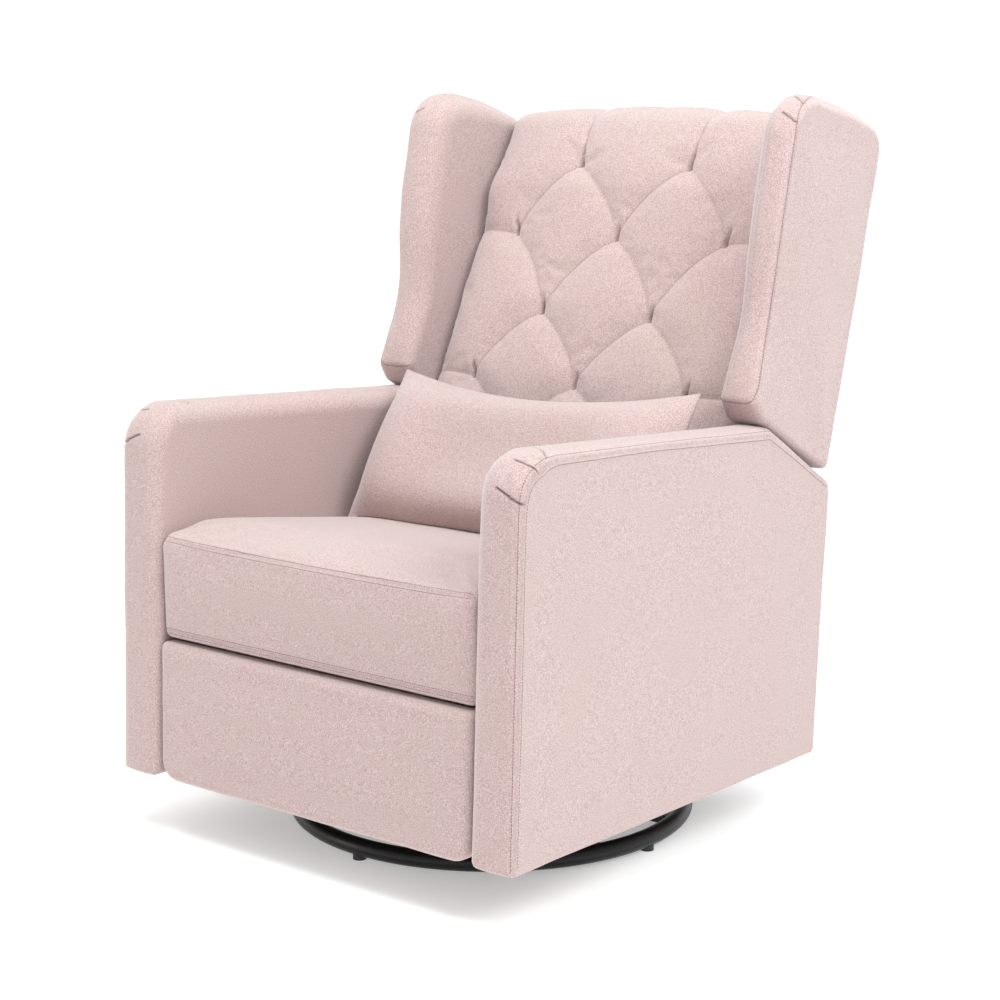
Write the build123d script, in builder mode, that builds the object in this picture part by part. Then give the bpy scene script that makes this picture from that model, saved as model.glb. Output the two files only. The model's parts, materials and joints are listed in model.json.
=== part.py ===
from build123d import *
import os
from math import cos, radians, sin

# Upholstered wing-back nursery chair that swivels, glides and reclines, with a fold-out leg rest.
#
# Millimetres. The chair faces -Y, +X is its left arm, +Z is up and the floor is z = 0.
# The origin is on the floor under the middle of the chair's bounding box.

os.makedirs("parts", exist_ok=True)

# ---------------------------------------------------------------- driving dimensions
ARM_OUT = 375.0          # outer face of each arm
ARM_IN = 300.0           # inner face of each arm
SKIRT = 88.0             # underside of the upholstery
WING_OUT = 370.0         # outer face of each wing
WING_IN = 299.5          # inner face of each wing, behind the back cushion's edge
SOFT_HALF = 298.5        # half width of the seat cushion and of the leg rest pad
BACK_HALF = 298.0        # half width of the back cushion

AXIS_Y = -27.0           # swivel axis
RING_R = 294.0           # centre line of the floor ring
TUBE_R = 13.0            # floor ring tube
FOOT_H = 5.0             # floor to the underside of the ring
RAIL_Y = 97.0            # cross rails, each side of the swivel axis
PLATE_T = 4.0            # pressed steel plate

LINK_Y = 100.0           # hanging links, each side of the swivel axis
LINK_TOP = 205.0         # height of the links' upper pivots
LINK_LENGTH = 100.0      # between a link's pivots
PIN_R = 6.0              # pins of the hanging links and of the back hinge
PIN_HEAD_R = 9.0
PIN_HEAD_T = 3.0
RIVET_R = 4.0            # rivets of the leg rest linkage
RUN = 0.05               # radial clearance of a turning fit
FIXED = 0.02             # radial clearance of a fixed pin in its plate

TUBE_BOTTOM = 227.0      # carriage cross tubes
TUBE = 25.0
FRONT_TUBE_Y = -190.0
REAR_TUBE_Y = 150.0

HINGE_Y = 190.0          # back hinge
HINGE_Z = 330.0
REAR_SLOPE = 0.25        # how far the outer back leans for each millimetre of height
LEAN = 0.48              # the same for the face that the sitter leans on

PANEL_BACK = -400.0      # rear face of the leg rest board
KNEE_Y = -275.0          # leg rest linkage: pivot on the seat
KNEE_Z = 260.0
LOWER_LINK = 160.0
UPPER_LINK = 180.0
UPPER_ANGLE = 62.0       # upper link above the horizontal when folded
STUB = 25.0              # lever arm of both control links

SIDES = (("left", 1), ("right", -1))
TUBE_TOP = TUBE_BOTTOM + TUBE
LINK_LOW = LINK_TOP - LINK_LENGTH


# ---------------------------------------------------------------- helpers
def span(side, near, far):
    """The lower end and the length of an X interval on one side of the chair."""
    low = min(side * near, side * far)
    return low, abs(far - near)


def side_face(outline, x):
    """A closed outline of (y, z, corner radius) points as a face in the plane at x."""
    with BuildSketch(Plane.YZ.offset(x)) as face:
        with BuildLine():
            Polyline(*[(y, z) for y, z, _ in outline], close=True)
        make_face()
        for y, z, radius in outline:
            if radius:
                fillet(face.vertices().sort_by_distance((y, z))[0], radius)
    return face.sketch


def link_face(pivots, x, radius):
    """A flat link in the plane at x: rounded ends about its pivots, joined by their hull."""
    with BuildSketch(Plane.YZ.offset(x)) as face:
        with Locations(*pivots):
            Circle(radius)
        make_hull()
    return face.sketch


def holes_face(pivots, x, radius):
    """Round holes about pivots in the plane at x."""
    with BuildSketch(Plane.YZ.offset(x)) as face:
        with Locations(*pivots):
            Circle(radius)
    return face.sketch


def polar(length, angle):
    """A forward and upward step of a length at an angle above the horizontal."""
    return -length * cos(radians(angle)), length * sin(radians(angle))


def step(point, move):
    return point[0] + move[0], point[1] + move[1]


def outer_back(z):
    """The y of the outer back surface at a height."""
    return 315.0 + REAR_SLOPE * (z - 518.0)


def strip(z_low, z_high, front, rear):
    """A leaning board section, its depths measured forward from the outer back surface."""
    return [
        (outer_back(z_low) - front, z_low, 0),
        (outer_back(z_low) - rear, z_low, 0),
        (outer_back(z_high) - rear, z_high, 0),
        (outer_back(z_high) - front, z_high, 0),
    ]


def save(builder, label):
    builder.part.label = label
    export_step(builder.part, f"parts/{label}.step")


# ---------------------------------------------------------------- floor base
RING_Z = FOOT_H + TUBE_R
RAIL_TOP = 26.0
RAIL_H = 14.0
RAIL_W = 38.0
BOLT_X = 90.0
BOLT_R = 4.0
BOLT_HEAD = 5.0
GLIDE_R = 10.0            # plastic feet under the floor ring
GLIDE_H = FOOT_H + 4
PLATE_SIZE = 230.0

with BuildPart() as base_ring:
    with Locations((0, AXIS_Y, RING_Z)):
        Torus(RING_R, TUBE_R)
save(base_ring, "base_ring")

with BuildPart() as cross_rails:
    for rail_y in (AXIS_Y - RAIL_Y, AXIS_Y + RAIL_Y):
        with Locations((0, rail_y, RAIL_TOP - RAIL_H / 2)):
            Box(2 * RING_R, RAIL_W, RAIL_H)
    with Locations((0, AXIS_Y, RAIL_TOP)):
        with GridLocations(2 * BOLT_X, 2 * RAIL_Y, 2, 2):
            Hole(BOLT_R + RUN, RAIL_H)
    with BuildSketch(Plane.XY):
        with Locations((0, AXIS_Y)):
            Circle(RING_R + 60)
            Circle(RING_R, mode=Mode.SUBTRACT)
    extrude(amount=60, mode=Mode.SUBTRACT)
    with Locations((0, AXIS_Y, RING_Z)):
        Torus(RING_R, TUBE_R, mode=Mode.SUBTRACT)
save(cross_rails, "cross_rails")

with BuildPart() as base_plate:
    with BuildSketch(Plane.XY.offset(RAIL_TOP)):
        with Locations((0, AXIS_Y)):
            RectangleRounded(PLATE_SIZE, PLATE_SIZE, 12)
            Circle(PIN_R + FIXED, mode=Mode.SUBTRACT)
            with GridLocations(2 * BOLT_X, 2 * RAIL_Y, 2, 2):
                Circle(BOLT_R + RUN, mode=Mode.SUBTRACT)
    extrude(amount=PLATE_T)
save(base_plate, "base_plate")

with BuildPart() as base_bolts:
    with BuildSketch(Plane.XY.offset(RAIL_TOP - RAIL_H)):
        with Locations((0, AXIS_Y)):
            with GridLocations(2 * BOLT_X, 2 * RAIL_Y, 2, 2):
                Circle(BOLT_R)
    extrude(amount=RAIL_H + PLATE_T + BOLT_HEAD)
    with BuildSketch(Plane.XY.offset(RAIL_TOP + PLATE_T)):
        with Locations((0, AXIS_Y)):
            with GridLocations(2 * BOLT_X, 2 * RAIL_Y, 2, 2):
                RegularPolygon(7.5, 6)
    extrude(amount=BOLT_HEAD)
save(base_bolts, "base_bolts")

with BuildPart() as foot_glides:
    with BuildSketch(Plane.XY):
        with Locations((0, AXIS_Y)):
            with PolarLocations(RING_R, 4, start_angle=0):
                Circle(GLIDE_R)
    extrude(amount=GLIDE_H)
    with Locations((0, AXIS_Y, RING_Z)):
        Torus(RING_R, TUBE_R, mode=Mode.SUBTRACT)
save(foot_glides, "foot_glides")

# ---------------------------------------------------------------- swivel bearing
RACE_Z = RAIL_TOP + PLATE_T
RACE_H = 7.0
RACE_GAP = 2.0
BALL_R = 4.0
BALL_PITCH = 70.0
BALL_COUNT = 24
BALL_Z = RACE_Z + RACE_H + RACE_GAP / 2
DECK_Z = RACE_Z + 2 * RACE_H + RACE_GAP
DECK_TOP = DECK_Z + PLATE_T

for label, race_bottom in (("lower_race", RACE_Z), ("upper_race", DECK_Z - RACE_H)):
    with BuildPart() as race:
        with BuildSketch(Plane.XY.offset(race_bottom)):
            with Locations((0, AXIS_Y)):
                Circle(85)
                Circle(50, mode=Mode.SUBTRACT)
        extrude(amount=RACE_H)
        with Locations((0, AXIS_Y, BALL_Z)):
            Torus(BALL_PITCH, BALL_R + FIXED, mode=Mode.SUBTRACT)
    save(race, label)

with BuildPart() as bearing_balls:
    with Locations((0, AXIS_Y, BALL_Z)):
        with PolarLocations(BALL_PITCH, BALL_COUNT):
            Sphere(BALL_R)
save(bearing_balls, "bearing_balls")

KING_HEAD = 8.0
with BuildPart() as king_pin:
    with BuildSketch(Plane.XY.offset(RAIL_TOP - KING_HEAD)):
        with Locations((0, AXIS_Y)):
            RegularPolygon(12, 6)
    extrude(amount=KING_HEAD)
    with BuildSketch(Plane.XY.offset(RAIL_TOP)):
        with Locations((0, AXIS_Y)):
            Circle(PIN_R)
    extrude(amount=DECK_TOP + 10 - RAIL_TOP)
    with BuildSketch(Plane.XY.offset(DECK_TOP + 1)):
        with Locations((0, AXIS_Y)):
            RegularPolygon(12, 6)
    extrude(amount=8)
save(king_pin, "king_pin")

# ---------------------------------------------------------------- stand that the chair hangs from
STAND_X = 170.0
STAND_T = 4.0
STAND_HALF = 125.0
STAND_TOP = LINK_TOP + 17

with BuildPart() as swivel_plate:
    with BuildSketch(Plane.XY.offset(DECK_Z)):
        with Locations((0, AXIS_Y)):
            RectangleRounded(2 * (STAND_X + STAND_T), 2 * STAND_HALF, 10)
            Circle(PIN_R + RUN, mode=Mode.SUBTRACT)
    extrude(amount=PLATE_T)
save(swivel_plate, "swivel_plate")

HANGERS = [(AXIS_Y - LINK_Y, LINK_TOP), (AXIS_Y + LINK_Y, LINK_TOP)]
CRADLES = [(AXIS_Y - LINK_Y, LINK_LOW), (AXIS_Y + LINK_Y, LINK_LOW)]
STAND_OUTLINE = [
    (AXIS_Y - STAND_HALF, DECK_TOP, 0),
    (AXIS_Y + STAND_HALF, DECK_TOP, 0),
    (AXIS_Y + STAND_HALF - 6, STAND_TOP, 16),
    (AXIS_Y - STAND_HALF + 6, STAND_TOP, 16),
]
WINDOW = 90.0
STAND_WINDOW = [
    (AXIS_Y - WINDOW / 2, 80, 14),
    (AXIS_Y + WINDOW / 2, 80, 14),
    (AXIS_Y + WINDOW / 2, 80 + WINDOW, 14),
    (AXIS_Y - WINDOW / 2, 80 + WINDOW, 14),
]
for name, side in SIDES:
    x, thick = span(side, STAND_X, STAND_X + STAND_T)
    with BuildPart() as stand:
        extrude(side_face(STAND_OUTLINE, x), amount=thick)
        extrude(side_face(STAND_WINDOW, x), amount=thick, mode=Mode.SUBTRACT)
        extrude(holes_face(HANGERS, x, PIN_R + FIXED), amount=thick, mode=Mode.SUBTRACT)
    save(stand, f"stand_{name}")

# Lateral stations of the hanging links, from the stand outwards.
LINK_X = STAND_X + STAND_T + 3
LINK_T = 4.0
BUSH_R = 9.0
RAIL_X = LINK_X + LINK_T + 3
RAIL_T = 4.0

with BuildPart() as stand_pins:
    for _, side in SIDES:
        x, length = span(side, STAND_X - 4, RAIL_X - 1)
        extrude(holes_face(HANGERS, x, PIN_R), amount=length)
        x, length = span(side, STAND_X - 4, STAND_X)
        extrude(holes_face(HANGERS, x, PIN_R + 3), amount=length)
save(stand_pins, "stand_pins")

for label, column in (("front_link", 0), ("rear_link", 1)):
    ends = [HANGERS[column], CRADLES[column]]
    with BuildPart() as links:
        for _, side in SIDES:
            x, length = span(side, LINK_X, LINK_X + LINK_T)
            extrude(link_face(ends, x, BUSH_R + 6), amount=length)
            extrude(holes_face(ends, x, BUSH_R + FIXED), amount=length, mode=Mode.SUBTRACT)
    save(links, f"{label}s")
    with BuildPart() as bushes:
        for _, side in SIDES:
            x, length = span(side, LINK_X - 1, LINK_X + LINK_T + 1)
            extrude(holes_face(ends, x, BUSH_R), amount=length)
            extrude(holes_face(ends, x, PIN_R + RUN), amount=length, mode=Mode.SUBTRACT)
    save(bushes, f"{label}_bushes")

# ---------------------------------------------------------------- carriage that glides
RAIL_OUTLINE = [
    (FRONT_TUBE_Y - 15, TUBE_BOTTOM, 0),
    (REAR_TUBE_Y + 15, TUBE_BOTTOM, 0),
    (REAR_TUBE_Y + 15, TUBE_BOTTOM - 22, 8),
    (AXIS_Y + LINK_Y + 24, 150, 20),
    (AXIS_Y + LINK_Y + 24, LINK_LOW - 15, 12),
    (AXIS_Y - LINK_Y - 24, LINK_LOW - 15, 12),
    (AXIS_Y - LINK_Y - 24, 150, 20),
    (FRONT_TUBE_Y - 15, TUBE_BOTTOM - 22, 8),
]
LIGHTENING = [(AXIS_Y - 48, 162), (AXIS_Y + 48, 162)]
for name, side in SIDES:
    x, thick = span(side, RAIL_X, RAIL_X + RAIL_T)
    with BuildPart() as rail:
        extrude(side_face(RAIL_OUTLINE, x), amount=thick)
        extrude(holes_face(LIGHTENING, x, 32), amount=thick, mode=Mode.SUBTRACT)
        extrude(holes_face(CRADLES, x, PIN_R + FIXED), amount=thick, mode=Mode.SUBTRACT)
    save(rail, f"carriage_rail_{name}")

with BuildPart() as carriage_pins:
    for _, side in SIDES:
        x, length = span(side, LINK_X - 2, RAIL_X + RAIL_T + PIN_HEAD_T)
        extrude(holes_face(CRADLES, x, PIN_R), amount=length)
        x, length = span(side, RAIL_X + RAIL_T, RAIL_X + RAIL_T + PIN_HEAD_T)
        extrude(holes_face(CRADLES, x, PIN_HEAD_R), amount=length)
save(carriage_pins, "carriage_pins")

PANEL_IN = 327.0         # inner face of the wooden panel inside each arm
PANEL_OUT = 349.0
TUBE_WALL = 2.0
TUBE_CENTRES = [(FRONT_TUBE_Y, TUBE_BOTTOM + TUBE / 2), (REAR_TUBE_Y, TUBE_BOTTOM + TUBE / 2)]


def tube_face(x, size, corner):
    """The outline of both carriage cross tubes in the plane at x."""
    with BuildSketch(Plane.YZ.offset(x)) as face:
        with Locations(*TUBE_CENTRES):
            RectangleRounded(size, size, corner)
    return face.sketch


with BuildPart() as cross_tubes:
    extrude(tube_face(-PANEL_IN, TUBE, 3), amount=2 * PANEL_IN)
    extrude(tube_face(-PANEL_IN, TUBE - 2 * TUBE_WALL, 1), amount=2 * PANEL_IN, mode=Mode.SUBTRACT)
save(cross_tubes, "cross_tubes")

# ---------------------------------------------------------------- wooden seat box
BOX_IN = 208.0
BOX_OUT = 228.0
BOX_FRONT = -385.0
BOX_REAR = 75.0
BOX_TOP = 293.0
BOX_H = BOX_TOP - TUBE_TOP
BOARD = 22.0
STRAP_T = 2.0

for name, side in SIDES:
    x, thick = span(side, BOX_IN, BOX_OUT)
    with BuildPart() as seat_rail:
        with Locations((x + thick / 2, (BOX_FRONT + BOX_REAR) / 2, TUBE_TOP + BOX_H / 2)):
            Box(thick, BOX_REAR - BOX_FRONT, BOX_H)
    save(seat_rail, f"seat_rail_{name}")

for name, middle in (("front", BOX_FRONT + BOARD / 2), ("rear", BOX_REAR - BOARD / 2)):
    with BuildPart() as seat_rail:
        with Locations((0, middle, TUBE_TOP + BOX_H / 2)):
            Box(2 * BOX_IN, BOARD, BOX_H)
    save(seat_rail, f"seat_rail_{name}")

with BuildPart() as seat_webbing:
    with Locations((0, (BOX_FRONT + BOX_REAR) / 2, BOX_TOP + STRAP_T / 2)):
        with GridLocations(78, 1, 5, 1):
            Box(52, BOX_REAR - BOX_FRONT, STRAP_T)
save(seat_webbing, "seat_webbing")

# ---------------------------------------------------------------- leg rest linkage
# Stations across the chair, from the fixed plate inwards. Each link is a flat bar.
BAR_T = 3.0
FIXED_X = 258.0
CONTROL_X = FIXED_X - 4.5
UPPER_X = CONTROL_X - 5
LOWER_X = UPPER_X - 5
INNER_X = LOWER_X - 5
BAR_R = 10.0
OPEN_FRAME = 1.2         # extra clearance where the frame control link meets the upper link
OPEN_PANEL = 0.4         # extra clearance where the panel control link meets the bracket

KNEE = (KNEE_Y, KNEE_Z)
ELBOW = step(KNEE, polar(LOWER_LINK, -90))
TOE = step(ELBOW, polar(UPPER_LINK, UPPER_ANGLE))
FRAME_PIVOT = (-308.3, 229.5)
TAIL = step(ELBOW, polar(STUB, UPPER_ANGLE - 86))
HEEL = step(ELBOW, polar(STUB, -4))
BRACKET_PIVOT = step(TOE, polar(26.8, -1.5))

with BuildPart() as mechanism_plates:
    plate_outline = [
        (-332, 212, 10),
        (-160, 212, 6),
        (-160, 288, 6),
        (-292, 288, 14),
        (-332, 250, 14),
    ]
    for _, side in SIDES:
        x, thick = span(side, FIXED_X, FIXED_X + BAR_T)
        extrude(side_face(plate_outline, x), amount=thick)
        extrude(holes_face([KNEE, FRAME_PIVOT], x, RIVET_R + FIXED), amount=thick, mode=Mode.SUBTRACT)
        extrude(tube_face(x, TUBE + 2 * FIXED, 3), amount=thick, mode=Mode.SUBTRACT)
save(mechanism_plates, "mechanism_plates")


def bar_faces(pivots, near):
    """Both sides' bar outlines about their pivots, each with its station and thickness."""
    faces = []
    for _, side in SIDES:
        x, thick = span(side, near, near + BAR_T)
        faces.append((link_face(pivots, x, BAR_R), x, thick))
    return faces


def rivet_faces(pivot, near, far, radius):
    """Both sides' rivet sections at a pivot, each with its length."""
    faces = []
    for _, side in SIDES:
        x, length = span(side, near, far)
        faces.append((holes_face([pivot], x, radius), length))
    return faces


for label, pivots, near, bored in (
    ("lower_links", [KNEE, ELBOW, HEEL], LOWER_X, {KNEE: RUN, ELBOW: FIXED, HEEL: FIXED}),
    ("upper_links", [ELBOW, TOE, TAIL], UPPER_X, {ELBOW: RUN, TOE: RUN, TAIL: FIXED}),
    ("frame_control_links", [FRAME_PIVOT, TAIL], CONTROL_X, {FRAME_PIVOT: RUN, TAIL: OPEN_FRAME}),
    ("panel_control_links", [HEEL, BRACKET_PIVOT], INNER_X, {HEEL: RUN, BRACKET_PIVOT: OPEN_PANEL}),
):
    with BuildPart() as links:
        for face, x, thick in bar_faces(pivots, near):
            extrude(face, amount=thick)
            for pivot, clearance in bored.items():
                extrude(holes_face([pivot], x, RIVET_R + clearance), amount=thick, mode=Mode.SUBTRACT)
    save(links, label)

HEAD_T = 1.2             # rivet heads between neighbouring bars
HEAD_R = 6.5
OUTER_FACE = FIXED_X + BAR_T
# Each rivet: its pivot, where its shank starts and ends, where its head starts and ends.
RIVETS = {
    "mechanism_pins": (
        (KNEE, LOWER_X - HEAD_T, OUTER_FACE, OUTER_FACE, OUTER_FACE + 2),
        (FRAME_PIVOT, CONTROL_X, OUTER_FACE, OUTER_FACE, OUTER_FACE + 2),
    ),
    "lower_link_pins": (
        (ELBOW, LOWER_X, UPPER_X + BAR_T + 0.2, UPPER_X + BAR_T + 0.2, UPPER_X + BAR_T + 0.2 + HEAD_T),
        (HEEL, INNER_X, LOWER_X + BAR_T, INNER_X - HEAD_T, INNER_X),
    ),
    "upper_link_pins": (
        (TAIL, UPPER_X, CONTROL_X + BAR_T, CONTROL_X + BAR_T, CONTROL_X + BAR_T + HEAD_T),
    ),
    "footrest_pins": (
        (TOE, LOWER_X, UPPER_X + BAR_T + 0.2, UPPER_X + BAR_T + 0.2, UPPER_X + BAR_T + 0.2 + HEAD_T),
        (BRACKET_PIVOT, INNER_X - 0.2, LOWER_X + BAR_T, INNER_X - 0.2 - HEAD_T, INNER_X - 0.2),
    ),
}
for label, rivets in RIVETS.items():
    with BuildPart() as pins:
        for pivot, near, far, head_near, head_far in rivets:
            for face, length in rivet_faces(pivot, min(near, head_near), max(far, head_far), RIVET_R):
                extrude(face, amount=length)
            for face, length in rivet_faces(pivot, head_near, head_far, HEAD_R):
                extrude(face, amount=length)
    save(pins, label)

with BuildPart() as torsion_tube:
    with BuildSketch(Plane.YZ.offset(-LOWER_X)):
        with Locations(ELBOW):
            Circle(7)
            Circle(5.5, mode=Mode.SUBTRACT)
    extrude(amount=2 * LOWER_X)
save(torsion_tube, "torsion_tube")

# ---------------------------------------------------------------- leg rest panel
PANEL_TOP = 292.0
PANEL_BOTTOM = 85.0
BOARD_T = 12.0
BOARD_W = 576.0
BOARD_H = PANEL_TOP - PANEL_BOTTOM - 16
BOARD_CENTRE = (0, PANEL_BACK - BOARD_T / 2, (PANEL_TOP + PANEL_BOTTOM) / 2)
FLANGE_T = 3.0

with BuildPart() as footrest_board:
    with Locations(BOARD_CENTRE):
        Box(BOARD_W, BOARD_T, BOARD_H)
save(footrest_board, "footrest_board")

with BuildPart() as footrest_pad:
    pad_outline = [
        (PANEL_BACK, PANEL_BOTTOM, 0),
        (-434, PANEL_BOTTOM, 12),
        (-424, PANEL_TOP, 12),
        (PANEL_BACK, PANEL_TOP, 0),
    ]
    extrude(side_face(pad_outline, -SOFT_HALF), amount=2 * SOFT_HALF)
    with Locations(BOARD_CENTRE):
        Box(BOARD_W + 0.2, BOARD_T + 0.2, BOARD_H + 0.2, mode=Mode.SUBTRACT)
save(footrest_pad, "footrest_pad")

with BuildPart() as footrest_brackets:
    ear_outline = [
        (PANEL_BACK, 236, 0),
        (TOE[0] + 12, 244, 8),
        (TOE[0] + 12, 272, 8),
        (PANEL_BACK, 276, 0),
    ]
    flange_outline = [
        (PANEL_BACK, 196, 0),
        (PANEL_BACK + FLANGE_T, 196, 0),
        (PANEL_BACK + FLANGE_T, 276, 0),
        (PANEL_BACK, 276, 0),
    ]
    for _, side in SIDES:
        x, thick = span(side, LOWER_X, LOWER_X + BAR_T)
        extrude(side_face(ear_outline, x), amount=thick)
        x, thick = span(side, LOWER_X - 20, LOWER_X + BAR_T)
        extrude(side_face(flange_outline, x), amount=thick)
        x, thick = span(side, LOWER_X, LOWER_X + BAR_T)
        extrude(holes_face([TOE, BRACKET_PIVOT], x, RIVET_R + FIXED), amount=thick, mode=Mode.SUBTRACT)
save(footrest_brackets, "footrest_brackets")

# ---------------------------------------------------------------- arms
ARM_OUTLINE = [
    (-436, SKIRT, 4),
    (-417, 636, 58),
    (156, 603, 30),
    (318, 501, 14),
    (292, SKIRT, 4),
]
ARM_PANEL = [
    (-424, SKIRT, 0),
    (-403, 618, 40),
    (150, 586, 20),
    (302, 490, 10),
    (278, SKIRT, 0),
]
for name, side in SIDES:
    with BuildPart() as arm_frame:
        x, thick = span(side, PANEL_IN, PANEL_OUT)
        extrude(side_face(ARM_PANEL, x), amount=thick)
    save(arm_frame, f"arm_frame_{name}")
    with BuildPart() as arm_pad:
        x, thick = span(side, ARM_IN, ARM_OUT)
        extrude(side_face(ARM_OUTLINE, x), amount=thick)
        add(arm_frame.part, mode=Mode.SUBTRACT)
        x, thick = span(side, ARM_IN, PANEL_IN)
        extrude(tube_face(x, TUBE + 1, 3), amount=thick, mode=Mode.SUBTRACT)
    save(arm_pad, f"arm_pad_{name}")

# ---------------------------------------------------------------- seat cushion and rear panel
with BuildPart() as seat_cushion:
    cushion_outline = [
        (-417, 296, 10),
        (-421, 452, 20),
        (-340, 473, 80),
        (82, 413, 14),
        (82, 296, 8),
    ]
    extrude(side_face(cushion_outline, -SOFT_HALF), amount=2 * SOFT_HALF)
save(seat_cushion, "seat_cushion")

with BuildPart() as rear_panel:
    rear_outline = [(270, SKIRT, 0), (290, SKIRT, 4), (290, 292, 6), (270, 292, 4)]
    extrude(side_face(rear_outline, -SOFT_HALF), amount=2 * SOFT_HALF)
save(rear_panel, "rear_panel")

# ---------------------------------------------------------------- back hinge
STILE_IN = 245.0
STILE_OUT = 275.0
HINGE = (HINGE_Y, HINGE_Z)
BRACKET_X = STILE_OUT
HINGE_X = BRACKET_X + BAR_T + 1.5
EAR_R = 16.0
HINGE_FEET = [(HINGE_Y - 34, TUBE_TOP + EAR_R), (HINGE_Y, TUBE_TOP + EAR_R)]

with BuildPart() as hinge_plates:
    for _, side in SIDES:
        x, thick = span(side, HINGE_X, HINGE_X + PLATE_T)
        extrude(link_face([HINGE, *HINGE_FEET], x, EAR_R), amount=thick)
        extrude(holes_face([HINGE], x, PIN_R + RUN), amount=thick, mode=Mode.SUBTRACT)
save(hinge_plates, "hinge_plates")

FRAME_BOTTOM = 336.0
STILE_FRONT = 27.0       # depths forward from the outer back surface
SHEET_FRONT = 5.0
STILE_REAR = 5.2
STILE_TOP = 950.0

with BuildPart() as back_brackets:
    stile_mid = (STILE_FRONT + STILE_REAR) / 2
    feet = [(outer_back(z) - stile_mid, z) for z in (352, 450)]
    for _, side in SIDES:
        x, thick = span(side, BRACKET_X, BRACKET_X + BAR_T)
        extrude(link_face([HINGE, *feet], x, EAR_R - 6), amount=thick)
        extrude(holes_face([HINGE], x, EAR_R), amount=thick)
        extrude(holes_face([HINGE], x, PIN_R + FIXED), amount=thick, mode=Mode.SUBTRACT)
save(back_brackets, "back_brackets")

with BuildPart() as hinge_pins:
    for _, side in SIDES:
        x, length = span(side, BRACKET_X, HINGE_X + PLATE_T + PIN_HEAD_T)
        extrude(holes_face([HINGE], x, PIN_R), amount=length)
        x, length = span(side, HINGE_X + PLATE_T + 0.3, HINGE_X + PLATE_T + PIN_HEAD_T)
        extrude(holes_face([HINGE], x, PIN_HEAD_R), amount=length)
save(hinge_pins, "hinge_pins")

# ---------------------------------------------------------------- back frame
for name, side in SIDES:
    with BuildPart() as back_stile:
        x, thick = span(side, STILE_IN, STILE_OUT)
        extrude(side_face(strip(FRAME_BOTTOM, STILE_TOP, STILE_FRONT, STILE_REAR), x), amount=thick)
    save(back_stile, f"back_stile_{name}")

for label, z_low, z_high, half in (
    ("back_rail_bottom", FRAME_BOTTOM, 390, STILE_IN),
    ("back_rail_middle", 640, 690, STILE_IN),
    ("back_rail_top", STILE_TOP, 994, STILE_OUT),
):
    with BuildPart() as back_rail:
        extrude(side_face(strip(z_low, z_high, STILE_FRONT, STILE_REAR), -half), amount=2 * half)
    save(back_rail, label)

with BuildPart() as back_panel:
    extrude(side_face(strip(340, 1002, SHEET_FRONT, 0), -BACK_HALF), amount=2 * BACK_HALF)
save(back_panel, "back_panel")

# ---------------------------------------------------------------- wings
WING_OUTLINE = [
    (132, 620, 12),
    (123, 648, 12),
    (216, 1084, 56),
    (441, 1019, 32),
    (315, 518, 8),
]
WING_PANEL_IN = 330.0
WING_PANEL_OUT = 346.0
WING_PANEL = [
    (156, 640, 0),
    (234, 1040, 30),
    (410, 994, 20),
    (308, 580, 0),
]
for name, side in SIDES:
    with BuildPart() as wing_frame:
        x, thick = span(side, WING_PANEL_IN, WING_PANEL_OUT)
        extrude(side_face(WING_PANEL, x), amount=thick)
        x, thick = span(side, STILE_OUT, WING_PANEL_IN)
        extrude(side_face(strip(640, 940, STILE_FRONT, STILE_REAR), x), amount=thick)
    save(wing_frame, f"wing_frame_{name}")
    with BuildPart() as wing_pad:
        x, thick = span(side, WING_IN, WING_OUT)
        extrude(side_face(WING_OUTLINE, x), amount=thick)
        add(wing_frame.part, mode=Mode.SUBTRACT)
    save(wing_pad, f"wing_pad_{name}")


# ---------------------------------------------------------------- back cushion
BULGE = 26.0             # how far the middle of the cushion stands out from its side edges
RISE = 22.0              # and how far its top stands up


def leaning_face(z):
    """The y of the cushion's face at its side edges."""
    return 190.0 + LEAN * (z - 621.0)


def cushion_section(x, bulge, rise):
    """The back cushion's section at x, its face pushed forward by bulge and its top raised."""
    behind = STILE_FRONT + 0.8
    top = 1030 + rise
    return side_face(
        [
            (98, FRAME_BOTTOM, 0),
            (97 - bulge / 2, 430, 0),
            (leaning_face(640) - bulge, 640, 0),
            (leaning_face(960) - bulge, 960, 0),
            (leaning_face(1020) - bulge / 2 + 8, top, 0),
            (outer_back(1020) - 8, top, 0),
            (outer_back(1004) - 2, 1004, 0),
            (outer_back(1004) - behind, 1004, 0),
            (outer_back(540) - behind, 540, 0),
            (168, 470, 0),
            (164, FRAME_BOTTOM, 0),
        ],
        x,
    )


with BuildPart() as back_cushion:
    edges = [cushion_section(x, 0, 0) for x in (-BACK_HALF, BACK_HALF)]
    loft([edges[0], cushion_section(0, BULGE, RISE), edges[1]])
save(back_cushion, "back_cushion")

# ---------------------------------------------------------------- lumbar pillow
PILLOW_HALF = 272.0
PILLOW_H = 268.0
PILLOW_T = 112.0
PILLOW_LEAN = 36.0
PILLOW_CENTRE = (0, 20, 546)
across = Plane(
    origin=(PILLOW_CENTRE[0] - PILLOW_HALF, PILLOW_CENTRE[1], PILLOW_CENTRE[2]),
    x_dir=(0, sin(radians(PILLOW_LEAN)), cos(radians(PILLOW_LEAN))),
    z_dir=(1, 0, 0),
)
with BuildPart() as lumbar_pillow:
    with BuildSketch(across):
        with BuildLine():
            ThreePointArc((-PILLOW_H / 2, 0), (0, PILLOW_T / 2), (PILLOW_H / 2, 0))
            ThreePointArc((PILLOW_H / 2, 0), (0, -PILLOW_T / 2), (-PILLOW_H / 2, 0))
        make_face()
    extrude(amount=2 * PILLOW_HALF)
save(lumbar_pillow, "lumbar_pillow")
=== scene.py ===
import json
import math

import bmesh
import bpy
import numpy as np
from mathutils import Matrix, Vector
from mathutils.bvhtree import BVHTree


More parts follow.
